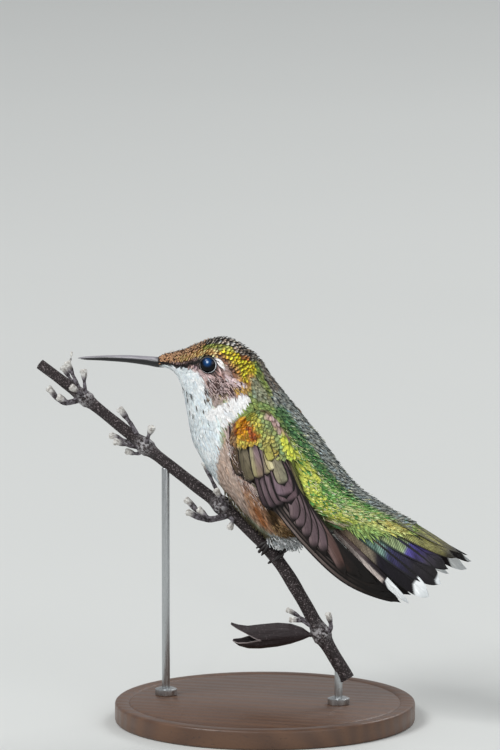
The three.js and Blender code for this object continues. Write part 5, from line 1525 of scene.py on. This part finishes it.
def tail_quill(i, side):
    """Feather i from the middle, on one side: the same arch and lengths as the solid fan."""
    turn = TAIL_FOLD * (i + 0.5)
    arch = side * math.sin(turn) * tail_right + (math.cos(turn) - 1) * tail_up
    sideways = side * math.cos(turn) * tail_right - math.sin(turn) * tail_up
    root = TAIL_ROOT + TAIL_ARCHES[0] * arch - 0.3 * i * tail_up
    spread = TAIL_ARCHES[1] - TAIL_ARCHES[0]
    forward = math.sqrt(TAIL_LENGTHS[i] ** 2 - (spread * np.linalg.norm(arch)) ** 2)
    tip = root + arch * spread + tail_along * forward
    along = (tip - root) / np.linalg.norm(tip - root)
    flat = sideways - sideways @ along * along
    flat /= np.linalg.norm(flat)
    up = np.cross(along, flat)
    if up @ (tail_up * math.cos(turn) + tail_right * side * math.sin(turn)) < 0:
        up = -up
    length, width, (full, blunt) = np.linalg.norm(tip - root), TAIL_WIDTHS[i], TAIL_ENDS[i]

    def place(s, c):
        half = vane_half(s, 0.5, full, 0.06, blunt) * width / 2
        round_off = -(0.5 + 0.7 * (c < 0)) * c**2 * unit((s - 0.85) / 0.15) ** 2
        lean = TAIL_LEANS[i] * (s**3) * 0.8
        arc = 0.35 * np.sin(np.pi * s)
        points = root + along * (s * length + round_off)[..., None]
        points = points + flat * (half * c - lean)[..., None]
        points = points + up * (0.12 + arc * 0.4 - 0.16 * (c + 0.15) ** 2 * width / 5)[..., None]
        return points, np.broadcast_to(up, points.shape)

    points, faces, vane, rim = vane_sheet(90, 12, place, 0.1)
    if side > 0:
        faces = faces[:, ::-1]
    c, s = vane[:, 0] * 2 - 1, vane[:, 1]
    tones, hems, (gleam, hatch) = TAIL_COLOURS[i]
    slanted = s + 0.03 * (1 - abs(c)) - 0.03 - 0.03 * c * (i > 1)
    tint, hem = graded(slanted, tones), graded(slanted, hems)
    if i == 4:
        pale = unit((c + 0.3) / 0.25)[:, None] * unit((0.7 - s) / 0.03)[:, None]
        tint = tint + (rgb("#e3d6cf") - tint) * pale * 0.9
    # The middle pair: a random mottle, and painted shade on the right-hand feather, darker all over and most towards
    # its tip.
    if i == 0:
        mottle_and_far_shade = chance.uniform(0.55, 1.25, len(s)) * (0.95 if side < 0 else 0.6 - 0.15 * s)
        tint = tint * mottle_and_far_shade[:, None]
    white = unit((tint.min(1) - 0.5) / 0.2)
    strength = hatch * unit(((1.1 if i == 0 else 0.74) - s) / 0.15) + 0.12
    return points, faces, vane, rim, tint, hem, gleam * (1 - white), strength * (1 - white)


tail_finish = quill_finish("tail_vanes", 50.0, 14.0, 0.2, 0.04, 0.5, 0.6)
tail_quills = [tail_quill(i, side) for i in range(4, -1, -1) for side in (1, -1)]
tail = quill_piece("tail_quills", tail_quills, tail_finish, "tail_feathers", 1, 4)
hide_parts("tail")

# The long coverts that lie over the roots of the tail: soft green and gold, buff along their lower edge, and grey
# with pale flecks on top.
cover_shares, cover_arcs = np.linspace(-0.25, 0.75, 41), np.radians(np.linspace(-72, 72, 73))
cover_size = (5.0 + 4.4 * cover_shares)[:, None, None]
cover_sides = np.sin(cover_arcs)[:, None] * tail_right + (np.cos(cover_arcs)[:, None] - 1) * tail_up
cover_grid = TAIL_ROOT + cover_size * cover_sides[None] + (cover_shares * 25.0)[:, None, None] * tail_along
cover = Form(cover_grid, (1, 1), (0, 0, 1))


def on_cover(p, q, height):
    """Points on the coverts' arch, which rounds over at both of its sides."""
    edge = unit(abs(q - 0.5) * 2.3 - 0.9)
    return cover.read(cover.grid, p, q) + cover.read(cover.normals, p, q) * (np.asarray(height) - 0.5 * edge)[..., None]


cover_roots = []
for row, place in enumerate(np.linspace(0.04, 0.8, 34)):
    number = 60
    spots = (np.arange(number) + 0.5 * (row % 2) + chance.uniform(-0.2, 0.2, number)) / number * 0.9 + 0.05
    reach = 0.8 - 0.42 * (abs(spots - 0.5) * 2) ** 1.3
    cover_roots.append(np.stack([place + chance.uniform(-0.012, 0.012, number), spots], -1)[place < reach])
cover_p, cover_q = np.vstack(cover_roots).T
cover_n = len(cover_p)
cover_grown = grow_vanes(
    cover,
    cover_p,
    cover_q,
    chance.uniform(3.0, 4.6, cover_n),
    chance.uniform(0.3, 0.55, cover_n),
    chance.normal(0, 9, cover_n),
    0.15,
    chance.uniform(0.35, 0.6, cover_n),
    chance.uniform(0.4, 0.9, cover_n),
    chance.uniform(0.0, 0.02, cover_n),
    chance.uniform(0.05, 0.12, cover_n),
    on_cover,
    5,
    2,
)
COVER_SIDE = np.array([1, -1, 1])
COVER_MARKS = [
    ("green", [(0, 0.5), (1, 0.5)], 12, 0.2, "#a6c26c #4c6638", 0.3),
    ("gold", [(0.1, 0.22), (0.4, 0.26), (0.7, 0.32), (0.9, 0.38)], 1.6, 0.6, "#dfe48a #7f8a48", 0.3),
    ("gold patch", [(0.62, 0.36), (0.8, 0.4)], 1.4, 0.6, "#dcd884 #8c8443", 0.3),
    ("top", [(0, 0.52), (0.4, 0.5), (0.8, 0.5)], (2.6, 2.0, 0.9), 0.5, "#565d58 #ccd3ce", 0.1),
    ("edge", [(0.0, 0.02), (0.12, 0.03)], 1.0, 0.6, "#e0c9a4 #8f7350", 0.05),
]
cover_marks = [(on_cover(*np.array(path, float).T, 0.4) * COVER_SIDE, *rest) for _, path, *rest in COVER_MARKS]
body_vanes("tail_coverts", cover_grown, cover_marks, back_finish, "tail_feathers", 0.15)

# ---------------- eyes
# Glossy, almost black eyeballs, set deep in the head, with a painted reflection of blue sky over the upper iris and
# a small painted glint. Each is ringed by a narrow bare lid of grey beads, which the face feathers stop short of.
eye_finish = Finish("eye_gloss_dark", Roughness=0.05, IOR=1.38, Specular_IOR_Level=0.28)
# The eye's colour holds a painted reflection: deep blue sky over the upper iris, fading to near black, round a painted
# pale glint.
eye_from_painted_shine = eye_finish.attribute("from_painted_shine")["Fac"]
eye_shine_mottle = eye_finish.noise(eye_finish.place(), 2.5, 4, 0.6)
eye_painted_sky_shine = eye_finish.mixed(eye_shine_mottle, "#123a6b", "#1d5593")
eye_black_and_painted_shine = eye_finish.mixed(eye_finish.ramp(eye_from_painted_shine, 0.1, 0.95), eye_painted_sky_shine, "#040507")
eye_painted_glint = eye_finish.ramp(eye_from_painted_shine, 0.06, 0.26, 0.85, 0.0)
eye_finish.feed(Base_Color=eye_finish.mixed(eye_painted_glint, eye_black_and_painted_shine, "#cfe2f7"))

lid_finish = Finish("lid_skin", Roughness=0.6)
lid_grain = lid_finish.noise(lid_finish.place(), 3.2, 3)
lid_pale = lid_finish.attribute("pale")["Fac"]
lid_finish.feed(
    Base_Color=lid_finish.mixed(lid_pale, "#3a3638", lid_finish.mixed(lid_grain, "#c3c6cc", "#f2f4f7")),
    Normal=lid_finish.bumped(lid_grain, 0.04),
)
LID_STEPS, LID_SIDES, LID_BEADS = 120, 12, 30
eye_aside = np.cross([0.0, 0.0, 1.0], EYE_FACING)
eye_aside /= np.linalg.norm(eye_aside)
eye_over = np.cross(EYE_FACING, eye_aside)
for eye_name, side in (("left", -1), ("right", 1)):
    bpy.ops.mesh.primitive_uv_sphere_add(segments=72, ring_count=48, radius=EYE_RADIUS)
    ball = bpy.context.object
    ball.name = "eyeball_" + eye_name
    spots = np.array([v.co for v in ball.data.vertices])
    away = np.hypot(spots[:, 0], spots[:, 1])
    bulge = 1 + 0.03 * np.exp(-((away / 1.3) ** 2)) * (spots[:, 2] > 0)
    spots = spots * bulge[:, None]
    placed = EYE_CENTRE + spots[:, 0:1] * eye_aside + spots[:, 1:2] * eye_over + spots[:, 2:3] * EYE_FACING
    placed = placed * np.array([1, side, 1]) * MM
    ball.data.vertices.foreach_set("co", placed.astype(np.float32).ravel())
    # How far each point of the front lies from the middle of the painted reflection, a little above the eye's centre.
    high = np.hypot(spots[:, 0], spots[:, 1] - 0.6) / 1.3
    mark(ball, "from_painted_shine", np.where(spots[:, 2] > 0, high, 2.0))
    settle(ball, eye_finish, angle=180)
    face_out(ball)
    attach(ball, "root")
    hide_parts("eye_" + eye_name)

    rings = []
    for turn in np.linspace(0, 2 * np.pi, LID_STEPS, endpoint=False):
        stretch = 1 + 0.035 * math.cos(2 * turn) - 0.03 * max(0, math.sin(turn))
        forth = math.cos(turn) * eye_aside + math.sin(turn) * eye_over
        bead = 0.022 * math.cos(LID_BEADS * turn)
        middle = EYE_CENTRE + EYE_FACING * 1.5 + forth * (LID_RADIUS + 0.02) * stretch
        section = []
        for bend in np.linspace(0, 2 * np.pi, LID_SIDES, endpoint=False):
            size = 0.1 + 0.1 * max(0, math.sin(turn)) ** 2 + bead * max(0, math.sin(bend + 0.6))
            section.append(middle + (math.cos(bend) * forth * 1.15 + math.sin(bend) * EYE_FACING) * size)
        rings.append(section)
    rings = np.array(rings)
    i, j = np.meshgrid(np.arange(LID_STEPS), np.arange(LID_SIDES), indexing="ij")
    next_i, next_j = (i + 1) % LID_STEPS * LID_SIDES, (j + 1) % LID_SIDES
    quads = np.stack([i * LID_SIDES + j, i * LID_SIDES + next_j, next_i + next_j, next_i + j], -1).reshape(-1, 4)
    lid_points = (rings * np.array([1, side, 1])).reshape(-1, 3)
    lid = piece("eyelid_" + eye_name, lid_points, quads.tolist(), lid_finish, angle=180)
    lower = -(rings - EYE_CENTRE) @ (eye_over * 0.8 + eye_aside * 0.3) / LID_RADIUS
    mark(lid, "pale", unit(0.55 + 1.1 * lower).ravel())
    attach(lid, "root")

# ---------------- bill
# Two slender horn mandibles, black, with a grey sheen painted along the ridge of the upper one. They meet in a fine
# line, and the upper one has a slit nostril under a small flap where the forehead's feathers begin.
BILL_LENGTH, BILL_ROOT_X, BILL_PARTING, BILL_SPLIT = 16.8, -21.9, 0.42, 0.1
BILL_PROFILE = [
    (-0.19, 72.25, 70.7, 0.95),
    (0, 72.55, 70.5, 1.0),
    (0.14, 72.65, 70.82, 0.85),
    (0.4, 72.68, 71.22, 0.66),
    (0.7, 72.42, 71.38, 0.5),
    (0.93, 72.05, 71.4, 0.32),
    (1, 71.75, 71.5, 0.12),
]
BILL_STEPS, BILL_SIDES = 70, 28


def mandible(side):
    """Upper (+1) or lower (-1) half: rings of an arc and the flat that closes it."""
    length = BILL_LENGTH - (0.6 if side < 0 else 0)
    shares = flowing([(s * 10, 0, 0) for s, *_ in BILL_PROFILE], np.linspace(0, 1, BILL_STEPS + 1))[:, 0] / 10
    knots = [s for s, *_ in BILL_PROFILE]
    fine = np.linspace(knots[0], knots[-1], 400)
    rows = through([row[1:] for row in BILL_PROFILE], np.interp(fine, knots, range(len(knots))))
    rings = []
    for share in shares:
        top, low, half = [np.interp(share, fine, rows[:, k]) for k in range(3)]
        middle, rise = (top + low) / 2, (top - low) / 2
        cut = low + (top - low) * BILL_PARTING + side * BILL_SPLIT / 4
        reach = math.acos(max(-0.9, min(0.9, (cut - middle) / rise)))
        turns = np.linspace(*((-reach, reach) if side > 0 else (reach, 2 * np.pi - reach)), BILL_SIDES)
        y, z = half * np.sin(turns), middle + rise * np.cos(turns)
        if side > 0:
            groove = np.exp(-(((abs(turns) - 0.95) / 0.2) ** 2)) * np.exp(-(((share - 0.06) / 0.05) ** 2)) * 0.16
            ridge = np.exp(-((turns / 0.3) ** 2)) * 0.03 * unit(1 - share)
            y = y * (1 - groove)
            z = z + ridge
        rings.append(np.stack([np.full(BILL_SIDES, BILL_ROOT_X - share * length), y, z], -1))
    return closed_loft(rings)


horn = Finish("bill_horn_black", Specular_IOR_Level=0.5, Coat_Weight=0.3, Coat_Roughness=0.25)
horn_place = horn.place((0.25, 1.0, 1.0))
horn_grain = horn.noise(horn_place, 3.0, 4)
horn_painted_sheen = horn.attribute("ridge")["Fac"]
horn_tone = horn.mixed(horn_grain, "#050405", "#0d0c0d")
horn_tone = horn.mixed(horn.times(horn_painted_sheen, horn.sums("MULTIPLY_ADD", horn_grain, 0.6, 0.5)), horn_tone, "#a19ea6")
horn.feed(
    Base_Color=horn_tone,
    Roughness=horn.ramp(horn_grain, 0.2, 0.8, 0.32, 0.5),
    Normal=horn.bumped(horn_grain, 0.03),
)
for half_name, side in (("upper", 1), ("lower", -1)):
    points, faces = mandible(side)
    half = piece("bill_%s_horn" % half_name, points, faces, horn, angle=55)
    # The top of the upper mandible, short of its root, takes a painted grey sheen.
    height = np.interp(points[:, 0], [BILL_ROOT_X - BILL_LENGTH, -33, -25, BILL_ROOT_X], [71.65, 72.2, 72.1, 72.0])
    ridge = unit((points[:, 2] - height + 0.1) / 0.35) * (side > 0) * unit((BILL_ROOT_X + 0.6 - points[:, 0]) / 1.5)
    mark(half, "ridge", ridge)
    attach(half, "root")
    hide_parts("bill_" + half_name)

# ---------------- legs and feet
# Short dark legs come down out of the belly feathers. Each foot has three toes round one side of the stem and the
# hind toe round the other, ringed with fine scutes, and each toe ends in a sharp hooked claw.
FEET = {"left": (0.652, -1), "right": (0.686, 1)}  # where it grips, as a share of the stem, and its side
TOE_RADIUS, TOE_CLEARANCE, ANKLE_TURN = 0.36, 0.16, 20
# Each toe's reach round the stem in degrees, its drift along the stem, and its way round.
TOES = [(118, -0.8, 1), (182, 0, 1), (136, 0.8, 1), (128, 0.3, -1)]


def scutes(share, turns):
    """Rings of small plates, and a ridge along the upper side."""
    rings = abs(np.sin(np.pi * 11 * share))
    return 0.035 * rings + 0.03 * np.cos(turns) ** 2


foot_skin = two_tone("foot_skin_dark", "#0d0a0a", "#2a2222", (3.0, 4), (0.4, 0.6), 0.06, Specular_IOR_Level=0.5)
claw_finish = two_tone("claw_horn", "#080606", "#171312", (2.0, 2), (0.22, 0.35), Specular_IOR_Level=0.6)
for foot_name, (foot_share, side) in FEET.items():
    spot = int(foot_share * STEM_FINE)
    centre, ahead = stem_fine[spot], stem_fine[spot + 4] - stem_fine[spot - 4]
    ahead /= np.linalg.norm(ahead)
    across = np.array([0.0, 1.0, 0.0]) - ahead[1] * ahead
    across /= np.linalg.norm(across)
    over = np.cross(across, ahead)
    over = over if over[2] > 0 else -over
    grip = stem_reach(foot_share) + TOE_CLEARANCE + TOE_RADIUS

    def round_stem(degrees, far, drift):
        turn = math.radians(degrees)
        return centre + over * far * math.cos(turn) + across * side * far * math.sin(turn) + ahead * drift

    toe_parts, claw_parts = [], []
    for turn, drift, way in TOES:
        path = [
            round_stem(ANKLE_TURN + way * turn * n / 6 * 0.85, grip - 0.12, drift * math.sin(n / 6 * math.pi / 2))
            for n in range(7)
        ]
        toe_parts.append(tube(path, [0.38, 0.36, 0.33, 0.31, 0.3, 0.29, 0.24], steps=44, sides=14, shape=scutes))
        hook = [
            round_stem(ANKLE_TURN + way * turn * 0.83, grip - 0.1, drift),
            round_stem(ANKLE_TURN + way * turn * 0.89, grip + 0.02, drift * 1.05),
            round_stem(ANKLE_TURN + way * turn * 0.95, grip - 0.06, drift * 1.05),
            round_stem(ANKLE_TURN + way * turn * 1.0, grip - 0.36, drift * 1.0),
        ]
        claw_parts.append(tube(hook, [0.22, 0.24, 0.18, 0.04], steps=16, sides=10, flat=0.8))
    ankle = round_stem(ANKLE_TURN, grip, 0)
    toe_parts.append(
        tube(
            [ankle - over * 0.2, ankle + over * 1.6 + [0.2, side * 0.5, 0], ankle + over * 3.4 + [0.6, side * 0.9, 0]],
            [0.44, 0.4, 0.55],
            steps=30,
            sides=14,
            shape=scutes,
        )
    )
    foot = piece("foot_" + foot_name, *gathered(toe_parts), foot_skin, angle=60)
    claws = piece("claws_" + foot_name, *gathered(claw_parts), claw_finish, angle=60)
    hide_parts("leg_" + foot_name)
    for part in (foot, claws):
        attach(part, "root")
